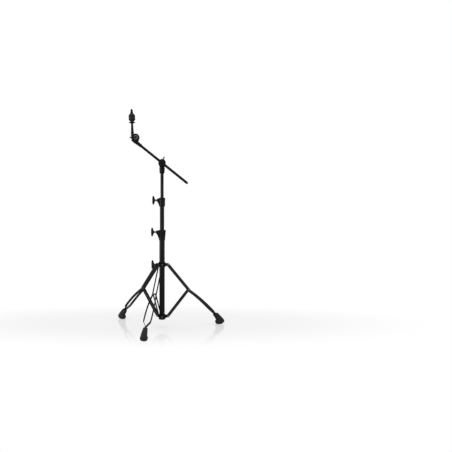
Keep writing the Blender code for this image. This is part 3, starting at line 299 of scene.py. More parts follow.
def fillet(points, radius, steps=4, closed=False):
    """Round a flat polyline's corners by up to a radius, and at most a share of their edges."""
    most = 0.45
    count = len(points)
    rounded = []
    for i, point in enumerate(points):
        here = Vector(point)
        if not closed and i in (0, count - 1):
            rounded.append(tuple(here))
            continue
        back = Vector(points[i - 1]) - here
        on = Vector(points[(i + 1) % count]) - here
        start = here + back.normalized() * min(radius, back.length * most)
        end = here + on.normalized() * min(radius, on.length * most)
        for k in range(steps + 1):
            share = k / steps
            spot = start * (1 - share) ** 2 + here * 2 * share * (1 - share) + end * share ** 2
            rounded.append(tuple(spot))
    return rounded


def flowing(points, steps=6):
    """Closed smooth outline through points."""
    made = []
    count = len(points)
    for i in range(count):
        a, b, c, d = (Vector(points[(i + k) % count]) for k in (-1, 0, 1, 2))
        square, cube = a * 2 - b * 5 + c * 4 - d, b * 3 - a - c * 3 + d
        for k in range(steps):
            t = k / steps
            made.append(tuple((b * 2 + (c - a) * t + square * t ** 2 + cube * t ** 3) / 2))
    return made


def rectangle(left, right, low, high):
    return [(left, low), (right, low), (right, high), (left, high)]


def around(radius, angle, height):
    return Vector((radius * math.cos(angle), radius * math.sin(angle), height))


def skin(bm, rows, ring=False):
    """Faces between rows of points, each row closed on itself. A row of one point is a tip."""
    pairs = list(zip(rows, rows[1:]))
    if ring:
        pairs.append((rows[-1], rows[0]))
    for upper, lower in pairs:
        steps = max(len(upper), len(lower))
        for i in range(steps):
            j = (i + 1) % steps
            left = (upper[i % len(upper)], lower[i % len(lower)])
            right = (lower[j % len(lower)], upper[j % len(upper)])
            corners = list(dict.fromkeys(left + right))
            if len(corners) > 2:
                bm.faces.new(corners)


def lathe(bm, profile, matrix, steps=ROUND_STEPS, ring=False):
    """Turn a (radius, height) profile about a frame's Z axis. It runs down the outer side."""
    rows = []
    turns = [math.tau * i / steps for i in range(steps)]
    for radius, height in profile:
        if radius < TINY:
            rows.append([bm.verts.new(matrix @ Vector((0, 0, height)))])
        else:
            rows.append([bm.verts.new(matrix @ around(radius, turn, height)) for turn in turns])
    skin(bm, rows, ring)


def rod(bm, radius, foot, top, matrix, steps=ROUND_STEPS):
    lathe(bm, [(0, top), (radius, top), (radius, foot), (0, foot)], matrix, steps)


def bolt_hole(cuts, foot, top, matrix):
    rod(cuts, BOLT_RADIUS + PLAY, foot, top, matrix, SMALL_STEPS)


def plate(bm, outline, thickness, matrix):
    """Flat outline in a frame's x and z, of the given thickness along its y."""
    near, far = ([bm.verts.new(matrix @ Vector((x, side * thickness / 2, z))) for x, z in outline]
                 for side in (-1, 1))
    bm.faces.new(near)
    bm.faces.new(far[::-1])
    skin(bm, [near, far])


def threaded(bm, radius, foot, top, matrix):
    """Rod with a screw thread along its whole length, running out at both ends."""
    pitch, depth, steps, rows_in_turn, fade_rows = 0.00125, 0.0006, 32, 6, 5
    count = max(rows_in_turn, round((top - foot) / pitch * rows_in_turn))
    rows = [[bm.verts.new(matrix @ Vector((0, 0, top)))]]
    for row in range(count + 1):
        height = top + (foot - top) * row / count
        painted_pool_share = min(1.0, row / fade_rows, (count - row) / fade_rows)
        ring = []
        for i in range(steps):
            turn = height / pitch - i / steps
            dip = abs(2 * (turn - math.floor(turn)) - 1) * depth
            at_radius = radius - depth * (1 - painted_pool_share) - dip * painted_pool_share
            ring.append(bm.verts.new(matrix @ around(at_radius, math.tau * i / steps, height)))
        rows.append(ring)
    rows.append([bm.verts.new(matrix @ Vector((0, 0, foot)))])
    skin(bm, rows)


def link(name, data):
    """New object in the scene."""
    obj = bpy.data.objects.new(name, data)
    bpy.context.scene.collection.objects.link(obj)
    return obj


def mesh_from(bm, name):
    bmesh.ops.recalc_face_normals(bm, faces=bm.faces)
    mesh = bpy.data.meshes.new(name)
    bm.to_mesh(mesh)
    bm.free()
    return mesh


def worked(name, bm, cuts=None, voxel=0.0, passes=0):
    """Mesh of overlapping shells, fused and softened where a cell is given, with its cuts taken out."""
    made = [link(name, mesh_from(bm, name))]
    if voxel:
        fuse = made[0].modifiers.new("fuse", "REMESH")
        fuse.mode = "VOXEL"
        fuse.voxel_size = voxel
        soften = made[0].modifiers.new("soften", "SMOOTH")
        soften.factor = 0.5
        soften.iterations = passes
    if cuts is not None:
        made.append(link(name + "_cuts", mesh_from(cuts, name + "_cuts")))
        cut = made[0].modifiers.new("cut", "BOOLEAN")
        cut.operation = "DIFFERENCE"
        cut.solver = "MANIFOLD"
        cut.object = made[1]
    mesh = bpy.data.meshes.new_from_object(made[0].evaluated_get(bpy.context.evaluated_depsgraph_get()))
    for obj in made:
        bpy.data.objects.remove(obj, do_unlink=True)
    weld(mesh)
    return mesh


def weld(mesh):
    """Close the hairline slivers that a cut can leave."""
    bm = bmesh.new()
    bm.from_mesh(mesh)
    bmesh.ops.triangulate(bm, faces=[face for face in bm.faces if len(face.verts) > 4])
    bmesh.ops.remove_doubles(bm, verts=bm.verts, dist=WELD)
    bmesh.ops.dissolve_degenerate(bm, edges=bm.edges, dist=WELD)
    twins = {}
    for face in bm.faces:
        twins.setdefault(frozenset(face.verts), []).append(face)
    folded = [face for faces in twins.values() if len(faces) > 1 for face in faces]
    bmesh.ops.delete(bm, geom=folded, context="FACES")
    bm.to_mesh(mesh)
    bm.free()


def add_detail(name, mesh, slot, body):
    """Smooth piece with a finish that moves with a body."""
    obj = link(name, mesh)
    mesh.materials.clear()
    mesh.materials.append(FINISHES[slot])
    mesh.polygons.foreach_set("use_smooth", [True] * len(mesh.polygons))
    mesh.set_sharp_from_angle(angle=SHARP_ANGLE)
    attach(obj, body)
    return obj


def add_piece(node, mesh, slot):
    """Finer piece that stands for one CAD node and moves with its body."""
    obj = add_detail("fine_" + node, mesh, slot, BODY_OF[node])
    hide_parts(node)
    return obj


def add_casting(node, bm, cuts, passes=CAST_PASSES):
    add_piece(node, worked(node, bm, cuts, CAST_VOXEL, passes), "black_casting")


def add_turned(node, profile, matrix, slot, steps=ROUND_STEPS, ring=False):
    bm = bmesh.new()
    lathe(bm, profile, matrix, steps, ring)
    add_piece(node, mesh_from(bm, node), slot)


def add_tube(node, matrix):
    foot, top = span(node, matrix)
    outer = reach(node, matrix)
    inner, lip = outer - TUBE_WALL, 0.0006
    profile = fillet([(outer, top), (outer, foot), (inner, foot), (inner, top)], lip, closed=True)
    add_turned(node, profile, matrix, "black_tube", ring=True)


# Tripod


def collar(node, lug_width, pivot_height, boss_reach=0.0):
    """Cast collar with a lug for every leg, and a boss for its wing bolt where it has one."""
    wide, bead, band = 0.0202, 0.0006, 0.0035
    nose, nose_points, root_half_height, lug_sink = 0.0072, 17, 0.0105, 0.003
    boss_radius, boss_sink = 0.0085, 0.002
    foot, top = span(node, MAST)
    slim, upper, lower = wide - bead, top - band, foot + band
    profile = [(0, top), (wide, top), (wide, upper), (slim, upper - bead)]
    profile += [(slim, lower + bead), (wide, lower), (wide, foot), (0, foot)]
    bm, cuts = bmesh.new(), bmesh.new()
    lathe(bm, fillet(profile, EDGE / 2), MAST)
    rod(cuts, BASE_RADIUS + GAP, foot - PAST, top + PAST, MAST)
    turns = [-math.pi / 2 + math.pi * i / (nose_points - 1) for i in range(nose_points)]
    lug = [(PIVOT_RADIUS + nose * math.cos(turn), nose * math.sin(turn)) for turn in turns]
    root = wide - lug_sink
    lug = [(root, -root_half_height)] + lug + [(root, root_half_height)]
    for plane in LEG_FRAMES.values():
        plate(bm, lug, lug_width, plane @ at((0, 0, pivot_height)))
        across = plane @ at((PIVOT_RADIUS, 0, pivot_height), FACE_FRONT)
        rod(cuts, PIN_RADIUS + PLAY, -PAST / 2, PAST / 2, across, SMALL_STEPS)
    if boss_reach:
        side = MAST @ at((0, 0, pivot_height), FACE_LEFT)
        start = BASE_RADIUS + boss_sink
        boss = [(0, boss_reach), (boss_radius, boss_reach), (boss_radius, start)]
        lathe(bm, fillet(boss, EDGE) + [(0, start)], side)
        bolt_hole(cuts, BASE_RADIUS / 2, boss_reach + PAST, side)
    add_casting(node, bm, cuts)


def round_end(start, along, y, width):
    """Stations of a half-round strip end about a pivot, from its tip to the pivot."""
    stations = []
    for angle in map(math.radians, (86, 76, 66, 54, 42, 28, 14, 0)):
        back = start - along * math.sin(angle) * width / 2
        stations.append((back.x, y, back.z, width * math.cos(angle)))
    return stations


def leg_bends():
    """Bend below the elbow, the lower leg's control point, the boot's mouth and the direction into it."""
    straight, kink, kink_share = 0.012, math.radians(55), 0.4
    mouth_inset, mouth_height = 0.028, 0.064
    bend = ELBOW + (ELBOW - UPPER_PIVOT).normalized() * straight
    mouth = Vector((SOLE.x - mouth_inset, 0, mouth_height))
    kinked = Vector((math.sin(kink), 0, -math.cos(kink)))
    control = bend + kinked * (mouth - bend).length * kink_share
    return bend, control, mouth, (mouth - control).normalized()


def leg_stations(side):
    """Stations of one leg strip from its rounded top to the boot. Below the elbow the strips bow apart."""
    count, ankle_rise = 60, 0.005
    widest, widest_share, fullness, rounding = 0.0198, 0.885, 1.5, 0.002
    flat = side * LEG_HALF_GAP
    stations = round_end(UPPER_PIVOT, (ELBOW - UPPER_PIVOT).normalized(), flat, STRIP_WIDTH)
    bend, control, mouth, inward = leg_bends()
    stations += [(ELBOW.x, flat, ELBOW.z, STRIP_WIDTH), (bend.x, flat, bend.z, STRIP_WIDTH)]
    ankle = mouth - inward * ankle_rise
    for number in range(1, count + 1):
        share = number / count
        place = bend * (1 - share) ** 2 + control * 2 * share * (1 - share) + ankle * share ** 2
        reached = share / widest_share
        bowed = reached * (1 + fullness * (1 - reached))
        parting = LEG_HALF_GAP + (widest - LEG_HALF_GAP) * bowed
        closing = TOE_HALF_GAP + (widest - TOE_HALF_GAP) * (1 - share) / (1 - widest_share)
        gap = (parting + closing - math.hypot(parting - closing, rounding)) / 2
        stations.append((place.x, side * gap, place.z, STRIP_WIDTH))
    toe = mouth + inward * (BOOT_SLOT_DEPTH - GAP)
    return stations + [(toe.x, side * TOE_HALF_GAP, toe.z, STRIP_WIDTH)]


def brace_stations(side):
    """Stations of one brace strip between its two rounded ends."""
    width, flat = 0.0135, side * BRACE_HALF_GAP
    up = (ELBOW - LOWER_PIVOT).normalized()
    return round_end(LOWER_PIVOT, up, flat, width) + round_end(ELBOW, -up, flat, width)[::-1]


def add_strip(node, stations, plane, pivots):
    """Flat bar with rolled edges through (x, y, z, width) stations, pierced for its rivets."""
    thick, most_edge, rolled = STRIP_THICKNESS / 2, 0.0008, 0.3
    bm, cuts = bmesh.new(), bmesh.new()
    rows = []
    for i, (x, y, z, width) in enumerate(stations):
        before = Vector(stations[max(i - 1, 0)][:3])
        after = Vector(stations[min(i + 1, len(stations) - 1)][:3])
        along = (after - before).normalized()
        side = Vector((-along.z, 0, along.x)).normalized()
        face = along.cross(side)
        half = width / 2
        edge = min(most_edge, half / 2)
        roll = edge * rolled
        corner = [(half - edge, thick), (half - roll, thick - roll), (half, thick - edge)]
        section = corner + [(a, -b) for a, b in reversed(corner)]
        section += [(-a, -b) for a, b in section]
        middle = Vector((x, y, z))
        rows.append([bm.verts.new(plane @ (middle + side * a + face * b)) for a, b in section])
    skin(bm, rows)
    bm.faces.new(rows[0][::-1])
    bm.faces.new(rows[-1])
    for pivot in pivots:
        across = plane @ at(pivot, FACE_FRONT)
        rod(cuts, PIN_RADIUS + PLAY, -PAST, PAST, across, SMALL_STEPS)
    add_piece(node, worked(node, bm, cuts), "black_strip")


def add_rivet(node, half_grip, plane, pivot, spacer_half=0.0):
    """Pin with two domed heads, and a waisted spacer in the middle where one is given."""
    wide, tall, skirt, steps, waist, waist_start, waist_end = 0.00525, 0.002, 0.15, 9, 0.9, 0.35, 0.25
    profile = []
    for step in range(steps + 1):
        angle = math.pi / 2 * step / steps
        rise = skirt + (1 - skirt) * math.cos(angle)
        profile.append((wide * math.sin(angle), half_grip + tall * rise))
    profile += [(wide, half_grip), (PIN_RADIUS, half_grip)]
    if spacer_half:
        profile += [(PIN_RADIUS, spacer_half), (wide, spacer_half)]
        profile += [(wide, spacer_half * waist_start), (wide * waist, spacer_half * waist_end)]
    profile += [(radius, -height) for radius, height in reversed(profile)]
    add_turned(node, profile, plane @ at(pivot, FACE_FRONT), "rivet_steel", SMALL_STEPS)


def smooth_track(stations, share):
    """Values between (share, value, ...) stations along a smooth curve through them."""
    for i in range(len(stations) - 1):
        if share <= stations[i + 1][0]:
            break
    a, b, c, d = (stations[min(max(i + k, 0), len(stations) - 1)] for k in (-1, 0, 1, 2))
    t = (share - b[0]) / (c[0] - b[0])
    values = []
    for k in range(1, len(b)):
        slope_b = (c[k] - a[k]) / max(c[0] - a[0], TINY) * (c[0] - b[0])
        slope_c = (d[k] - b[k]) / max(d[0] - b[0], TINY) * (c[0] - b[0])
        values.append(b[k] * (1 + 2 * t) * (1 - t) ** 2 + slope_b * t * (1 - t) ** 2
                      + c[k] * t * t * (3 - 2 * t) - slope_c * t * t * (1 - t))
    return values


def boot_ring(bm, frame_at, section):
    """Rounded ring of a boot, raised a little along the mould seam at its two sides."""
    steps, squareness, seam_height, seam_width = 72, 0.8, 0.00035, 0.06
    inner_x, inner_z, outer_x, outer_z, half_width = section
    middle = Vector((inner_x + outer_x, 0, inner_z + outer_z)) / 2
    half = Vector((outer_x - inner_x, 0, outer_z - inner_z)) / 2
    ring = []
    for i in range(steps):
        angle = math.tau * i / steps
        cosine, sine = math.cos(angle), math.sin(angle)
        seam = seam_height * math.exp(-(sine / seam_width) ** 2)
        along = math.copysign(abs(cosine) ** squareness, cosine) * (half.length + seam)
        across = math.copysign(abs(sine) ** squareness, sine) * half_width
        ring.append(bm.verts.new(frame_at @ (middle + half.normalized() * along + Vector((0, across, 0)))))
    return ring


def add_boot(node, plane):
    """Bell-shaped rubber boot with a bead round its foot, a slot for the strip ends and a treaded sole."""
    rings, grooves, pitch, groove_half, groove_depth, taper = 72, 4, 0.0062, 0.0008, 0.0012, 0.6
    frame_at = plane @ at((SOLE.x, 0, 0))
    last = len(BOOT_SECTIONS) - 1
    tracks = [(number / last, *section) for number, section in enumerate(BOOT_SECTIONS)]
    bm, cuts = bmesh.new(), bmesh.new()
    rows = [boot_ring(bm, frame_at, smooth_track(tracks, number / rings)) for number in range(rings + 1)]
    skin(bm, rows)
    bm.faces.new(rows[0][::-1])
    bm.faces.new(rows[-1])
    _, _, mouth, inward = leg_bends()
    entry = plane @ at(mouth, Matrix.Rotation(-math.atan2(inward.x, -inward.z), 4, "Y"))
    half = STRIP_WIDTH / 2 + GAP
    slot = rectangle(-half, half, -BOOT_SLOT_DEPTH, PAST)
    plate(cuts, slot, 2 * TOE_HALF_GAP + STRIP_THICKNESS + 2 * GAP, entry)
    deep = groove_half * taper
    for number in range(grooves):
        x = (number - (grooves - 1) / 2) * pitch
        groove = [(x - groove_half, -PAST), (x + groove_half, -PAST)]
        plate(cuts, groove + [(x + deep, groove_depth), (x - deep, groove_depth)], PAST, frame_at)
    add_piece(node, worked(node, bm, cuts), "rubber")


def add_plug():
    """Ribbed rubber plug in the base tube's foot."""
    rim_height, ribs, pitch, depth = 0.002, 4, 0.003, 0.0008
    foot, top = span("tube_plug", MAST)
    rim = foot + rim_height
    wide = BASE_RADIUS - TUBE_WALL - GAP
    slim = wide - depth
    profile = [(0, top), (wide - PLUG_CHAMFER, top), (wide, top - PLUG_CHAMFER)]
    for rib in range(ribs):
        height = top - pitch * (rib + 1)
        profile += [(wide, height), (slim, height - depth), (slim, height - 2 * depth)]
    profile += [(wide, rim), (BASE_RADIUS, rim), (BASE_RADIUS, foot + PLUG_CHAMFER)]
    profile += [(BASE_RADIUS - PLUG_CHAMFER, foot), (0, foot)]
    add_turned("tube_plug", fillet(profile, FINE_EDGE, 2), MAST, "rubber")


def tripod():
    lower_lug_width, upper_lug_width = 0.011, 0.0176
    add_tube("base_tube", MAST)
    add_plug()
    collar("lower_collar", lower_lug_width, LOWER_PIVOT.z)
    boss_reach = seat_of("collar_wing_bolt", COLLAR_BOLT) - GAP
    collar("upper_collar", upper_lug_width, UPPER_PIVOT.z, boss_reach)
    leg_grip = LEG_HALF_GAP + STRIP_THICKNESS / 2 + GAP
    brace_grip = BRACE_HALF_GAP + STRIP_THICKNESS / 2 + GAP
    spacer_half = BRACE_HALF_GAP - STRIP_THICKNESS / 2 - GAP
    for number, plane in LEG_FRAMES.items():
        for side, word in ((1, "a"), (-1, "b")):
            add_strip(f"leg_{number}_strip_{word}", leg_stations(side), plane, (UPPER_PIVOT, ELBOW))
            add_strip(f"brace_{number}_strip_{word}", brace_stations(side), plane, (ELBOW, LOWER_PIVOT))
        add_rivet(f"upper_rivet_{number}", leg_grip, plane, UPPER_PIVOT)
        add_rivet(f"elbow_rivet_{number}", leg_grip, plane, ELBOW, spacer_half)
        add_rivet(f"lower_rivet_{number}", brace_grip, plane, LOWER_PIVOT)
        add_boot(f"boot_{number}", plane)


# Wing bolts


def seat_of(node, matrix):
    """Height of the seat under a wing bolt's flange: its lowest point that is wider than the shank."""
    wide = BOLT_RADIUS + BOLT_FLANGE / 2
    return min(point.z for point in local_points(node, matrix) if point.xy.length > wide)


def add_wing_bolt(node, matrix, wing_span=WING_SPAN, depth=WING_DEPTH):
    """T wing bolt on its axis: cast wing and hub above the seat, threaded shank below it."""
    hub, hub_root, stem_wall, thickness, overlap = 0.006, 0.84, 0.0004, 0.0075, 0.001
    stem_top, stem_foot, flange_top = 0.62, 0.3, 0.14
    foot, top = span(node, matrix)
    seat = seat_of(node, matrix)
    base = top - depth
    stem = base - seat
    slim, flange = BOLT_RADIUS + stem_wall, BOLT_RADIUS + BOLT_FLANGE
    profile = [(hub * x, base + depth * z) for x, z in HUB_SHAPE]
    profile += [(slim, seat + stem * stem_top), (slim, seat + stem * stem_foot)]
    profile += [(flange, seat + stem * flange_top), (flange, seat), (0, seat)]
    bm = bmesh.new()
    lathe(bm, profile, matrix, SMALL_STEPS)
    right = [(wing_span / 2 * x, base + depth * z) for x, z in WING_SHAPE] + [(hub * hub_root, base)]
    outline = right + [(-x, z) for x, z in reversed(right)] + [(0, base + depth)]
    plate(bm, flowing(outline), thickness, matrix)
    solid = worked(node, bm, None, WING_VOXEL, WING_PASSES)
    bm = bmesh.new()
    bm.from_mesh(solid)
    threaded(bm, BOLT_RADIUS, foot, seat + overlap, matrix)
    add_piece(node, mesh_from(bm, node), "black_bolt")


# Clamps and bushings


def clamp(prefix, tube_radius, foot_wall, inner_radius):
    """Funnel casting over a tube's end, with a round boss and gusset for its wing bolt, and its bushing."""
    rim_share, step_share, step, bead, bead_low, bead_high = 0.12, 0.15, 0.0008, 0.0006, 0.005, 0.007
    most_boss, boss_room, boss_band, boss_groove, boss_sink = 0.01, 0.0006, 0.003, 0.0006, 0.003
    gusset_width, gusset_drop, upper_inset, lower_inset = 0.013, 0.002, 0.004, 0.003
    root_share, foot_share, boss_share, hole_share = 0.9, 0.1, 0.95, 0.4
    node = prefix + "_clamp"
    foot, top = span(node, MAST)
    height = top - foot
    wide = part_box(node)[1].x - MAST_AT.x
    foot_radius = tube_radius + foot_wall
    slim = foot_radius + bead
    bolt_height = joint_spot(prefix + "_wing_turn").z
    side = MAST @ at((0, 0, bolt_height), FACE_LEFT)
    mouth = seat_of(prefix + "_wing_bolt", side) - GAP
    boss = min(most_boss, top - bolt_height - boss_room)
    profile = [(0, top), (wide, top), (wide, top - height * rim_share)]
    profile += [(wide - step, top - height * step_share), (slim, foot + bead_high)]
    profile += [(slim + bead, foot + bead_low), (slim, foot), (0, foot)]
    bm, cuts = bmesh.new(), bmesh.new()
    lathe(bm, fillet(profile, EDGE), MAST)
    start = tube_radius + boss_sink
    profile = [(0, mouth), (boss, mouth), (boss, mouth - boss_band)]
    profile += [(boss - boss_groove, mouth - boss_band - EDGE), (boss, start)]
    lathe(bm, fillet(profile, EDGE) + [(0, start)], side)
    root, high, low = -tube_radius * root_share, top - gusset_drop, foot + height * foot_share
    gusset = [(root, high), (upper_inset - mouth, high)]
    gusset += [(lower_inset - mouth, bolt_height - boss * boss_share), (-foot_radius, low), (root, low)]
    plate(bm, gusset, gusset_width, MAST)
    rod(cuts, tube_radius + GAP, foot - PAST, top + PAST, MAST)
    bolt_hole(cuts, tube_radius * hole_share, mouth + PAST, side)
    add_casting(node, bm, cuts)
    add_wing_bolt(prefix + "_wing_bolt", side)

    node = prefix + "_bushing"
    low, high = span(node, MAST)
    inner, flange, lip = inner_radius + GAP, reach(node, MAST), top + GAP
    profile = [(flange, high), (flange, lip), (tube_radius, lip), (tube_radius, low), (inner, low)]
    add_turned(node, fillet(profile + [(inner, high)], SMALL_EDGE, 3, closed=True), MAST, "nylon", ring=True)


# Boom tilter and boom


def ringed_disc(radius, back, front, edge, ring):
    """Profile of a disc with rounded rims and a shallow ring turned into its front."""
    groove, half, rounding_share = 0.0008, 0.0006, 0.6
    deep = front - groove
    profile = [(0, front), (ring - 2 * half, front), (ring - half, deep), (ring + half, deep)]
    profile += [(ring + 2 * half, front), (radius - edge, front), (radius, front - edge)]
    profile += [(radius, back + edge), (radius - edge, back), (0, back)]
    return fillet(profile, edge * rounding_share, 3)


def boom_bracket(radius):
    """Casting on the upper tube: tulip neck, disc behind the boom's holder and a boss for its bolt."""
    belly, slim, rounding = UPPER_RADIUS + 0.0068, UPPER_RADIUS + 0.0045, 0.004
    top_share, shoulder_share, belly_share, waist_share, waist_place = 0.86, 0.97, 0.55, 1.06, 0.88
    band, socket, front, back, bolt_stop = 0.0045, 0.032, 0.004, 0.008, 0.001
    boss_top, boss_foot, boss_height = 0.011, 0.013, 0.004
    rise = BOOM_AXIS.translation.z - span("boom_bracket", MAST)[0]
    behind = BOOM_AXIS @ FACE_BACK
    profile = [(0, -radius / 2), (belly * top_share, -radius / 2), (belly * shoulder_share, -radius)]
    profile += [(belly, -rise * belly_share), (slim * waist_share, -rise * waist_place)]
    profile += [(slim, band - rise), (slim, -rise), (0, -rise)]
    bm, cuts = bmesh.new(), bmesh.new()
    lathe(bm, fillet(profile, rounding, 5), BOOM_AXIS)
    disc = [(0, front), (radius, front), (radius, -back), (0, -back)]
    lathe(bm, fillet(disc, EDGE), BOOM_AXIS @ FACE_FRONT)
    lathe(bm, fillet([(0, back), (boss_top, back), (boss_foot, back - boss_height), (0, 0)], EDGE), behind)
    deep, level = 2 * belly, radius + GAP
    plate(cuts, rectangle(-deep, deep, -level, level), deep, BOOM_AXIS @ at((0, -deep / 2 - front, 0)))
    rod(cuts, UPPER_RADIUS + GAP, -rise - PAST, socket + GAP - rise, BOOM_AXIS)
    bolt_hole(cuts, bolt_stop - front, PAST, behind)
    add_casting("boom_bracket", bm, cuts)


def boom_cap():
    """Rubber cap with a grooved rim and a round end."""
    lip, band, depth, groove_width, steps = 0.0004, 0.0018, 0.0005, 0.0006, 12
    tail, stem_top = span("boom_cap", BOOM_LINE)
    rim = span("boom_tube", BOOM_LINE)[0] - GAP
    stem = BOOM_RADIUS - TUBE_WALL - GAP
    slim, groove = BOOM_RADIUS - depth, rim - band - depth
    dome = groove - groove_width - depth
    profile = [(0, stem_top), (stem - PLUG_CHAMFER, stem_top), (stem, stem_top - PLUG_CHAMFER), (stem, rim)]
    profile += [(BOOM_RADIUS - FINE_EDGE, rim), (BOOM_RADIUS, rim - lip), (BOOM_RADIUS, rim - band)]
    profile += [(slim, groove), (slim, groove - groove_width)]
    for step in range(steps):
        angle = math.pi / 2 * step / steps
        profile.append((BOOM_RADIUS * math.cos(angle), dome - (dome - tail) * math.sin(angle)))
    add_turned("boom_cap", profile + [(0, tail)], BOOM_LINE, "rubber")


def boom_tilter():
    wing_turn, wing_span, edge, ring_share = math.radians(74), 0.092, 0.0025, 0.66
    front_axis = BOOM_AXIS @ FACE_FRONT
    radius = reach("boom_clamp", front_axis)
    boom_bracket(radius)
    turned_bolt = BOOM_AXIS @ Matrix.Rotation(-wing_turn, 4, "Y") @ FACE_BACK
    add_wing_bolt("boom_wing_bolt", turned_bolt, wing_span)
    back, front = span("boom_clamp", front_axis)
    bm, cuts = bmesh.new(), bmesh.new()
    lathe(bm, ringed_disc(radius, back, front, edge, radius * ring_share), front_axis)
    rod(cuts, BOOM_RADIUS + GAP, -PAST, PAST, BOOM_LINE)
    add_casting("boom_clamp", bm, cuts, passes=4)
    add_tube("boom_tube", BOOM_LINE)
    boom_cap()


# Cymbal tilter


def tilter_boom_half(front_axis, face):
    """Sleeve on the boom's end with a stepped disc, cut flush at the face given."""
    axis_along, boom_end, below, above, wall, foot_wall = 0.212, 0.216, 0.055, 0.013, 0.0045, 0.0016
    tip_share, shoulder_share, drop, taper, bead_wall, bead_height = 0.72, 0.95, 0.005, 0.012, 0.0008, 0.005
    thickness, rim_height, rim_step, step_height, bolt_stop = 0.0165, 0.006, 0.0014, 0.001, 0.0005
    bore = BOOM_RADIUS + GAP
    wide, slim = bore + wall, bore + foot_wall
    foot, top = axis_along - below, axis_along + above
    bead = slim + bead_wall
    profile = [(0, top), (wide * tip_share, top), (wide * shoulder_share, top - drop)]
    profile += [(wide, axis_along - taper), (slim, foot + taper), (slim, foot + bead_height + step_height)]
    profile += [(bead, foot + bead_height), (bead, foot), (0, foot)]
    bm, cuts = bmesh.new(), bmesh.new()
    lathe(bm, fillet(profile, CASTING_ROUNDING, 5), BOOM_LINE)
    back = face + GAP / 2 - thickness
    rim, inner = face - rim_height, CYMBAL_DISC_RADIUS - rim_step
    disc = [(0, face), (CYMBAL_DISC_RADIUS, face), (CYMBAL_DISC_RADIUS, rim)]
    disc += [(inner, rim - step_height), (inner, back), (0, back)]
    lathe(bm, fillet(disc, EDGE), front_axis)
    far = 8 * CYMBAL_DISC_RADIUS
    plate(cuts, rectangle(-far, far, -far, far), far, CYMBAL_AXIS @ at((0, -face - far / 2, 0)))
    rod(cuts, bore, foot - PAST, boom_end + GAP, BOOM_LINE)
    bolt_hole(cuts, back - PAST / 2, face - bolt_stop, front_axis)
    add_casting("tilter_boom_half", bm, cuts)


def tilter_rod_half(back, front, pad):
    """Disc with a web to the tapered holder of the cymbal rod, and a pad for its set screw."""
    edge, ring, boss, neck = 0.002, CYMBAL_DISC_RADIUS * 0.68, 0.0087, ROD_NECK_RADIUS
    below, above, chamfer, taper_share, taper, top, band = 0.011, 0.032, 0.003, 0.86, 0.012, 0.0878, 0.006
    web_inset, pad_top, pad_foot, pad_height, screw_hole = 0.002, 0.0055, 0.006, boss + 0.0002, 0.003
    web = [(-0.0178, -0.007), (0, -0.012), (0, 0.018), (-0.0178, 0.02)]
    lean_front = CYMBAL_AXIS @ LEAN @ FACE_FRONT
    bm, cuts = bmesh.new(), bmesh.new()
    lathe(bm, ringed_disc(CYMBAL_DISC_RADIUS, back, front, edge, ring), lean_front)
    profile = [(0, top), (neck, top), (neck, top - band), (boss * taper_share, above + taper), (boss, above)]
    profile += [(boss, chamfer - below), (boss - chamfer, -below), (0, -below)]
    lathe(bm, fillet(profile, CASTING_ROUNDING), ROD_LINE)
    thick = ROD_HALF_THICKNESS - web_inset
    plate(bm, web, thick, CYMBAL_AXIS @ LEAN @ at((0, -back - thick / 2, 0)))
    lathe(bm, fillet([(0, pad_height), (pad_top, pad_height), (pad_foot, 0), (0, 0)], EDGE), pad)
    rod(cuts, ROD_RADIUS + GAP, -PAST, top + PAST, ROD_LINE, SMALL_STEPS)
    rod(cuts, screw_hole, ROD_RADIUS, PAST, pad, SMALL_STEPS)
    bolt_hole(cuts, back - PAST / 2, front + PAST / 2, lean_front)
    add_casting("tilter_rod_half", bm, cuts)


def add_nut(matrix):
    """Hexagon nut with turned corners and a washer face."""
    steps, crown_share, crown, chamfer_share, chamfer = 60, 0.93, 0.0007, 1.03, 0.0016
    corner_foot, washer = 0.0009, 0.0004
    foot, top = span("tilter_nut", matrix)
    corner, flat = NUT_ACROSS_FLATS / math.sqrt(3), NUT_ACROSS_FLATS / 2
    levels = [(top, flat * crown_share), (top - crown, flat * chamfer_share), (top - chamfer, corner)]
    levels += [(foot + corner_foot, corner), (foot + washer, flat), (foot, flat)]
    bm, cuts = bmesh.new(), bmesh.new()
    rows = []
    for height, limit in levels:
        ring = []
        for i in range(steps):
            angle = math.tau * i / steps
            hexagon = flat / math.cos((angle + math.pi / 6) % (math.pi / 3) - math.pi / 6)
            ring.append(bm.verts.new(matrix @ around(min(hexagon, limit), angle, height)))
        rows.append(ring)
    skin(bm, rows)
    bm.faces.new(rows[0])
    bm.faces.new(rows[-1][::-1])
    rod(cuts, BOLT_RADIUS + PLAY / 4, foot - PAST, top + PAST, matrix, SMALL_STEPS)
    add_piece("tilter_nut", worked("tilter_nut", bm, cuts), "black_bolt")


def add_nut_ring(matrix, face):
    """Bare steel ring round the nut, dished outward."""
    wide, height, land, rim = 0.0118, 0.0022, 0.0008, 0.0004
    inner = NUT_ACROSS_FLATS / math.sqrt(3) + GAP
    low, high = face + GAP / 3, face + height
    profile = [(inner, high), (inner + land, high), (wide, low + rim), (wide, low), (inner, low)]
    bm = bmesh.new()
    lathe(bm, fillet(profile, FINE_EDGE, 3, closed=True), matrix, ring=True)
    add_detail("nut_ring", mesh_from(bm, "nut_ring"), "rivet_steel", BODY_OF["tilter_rod_half"])


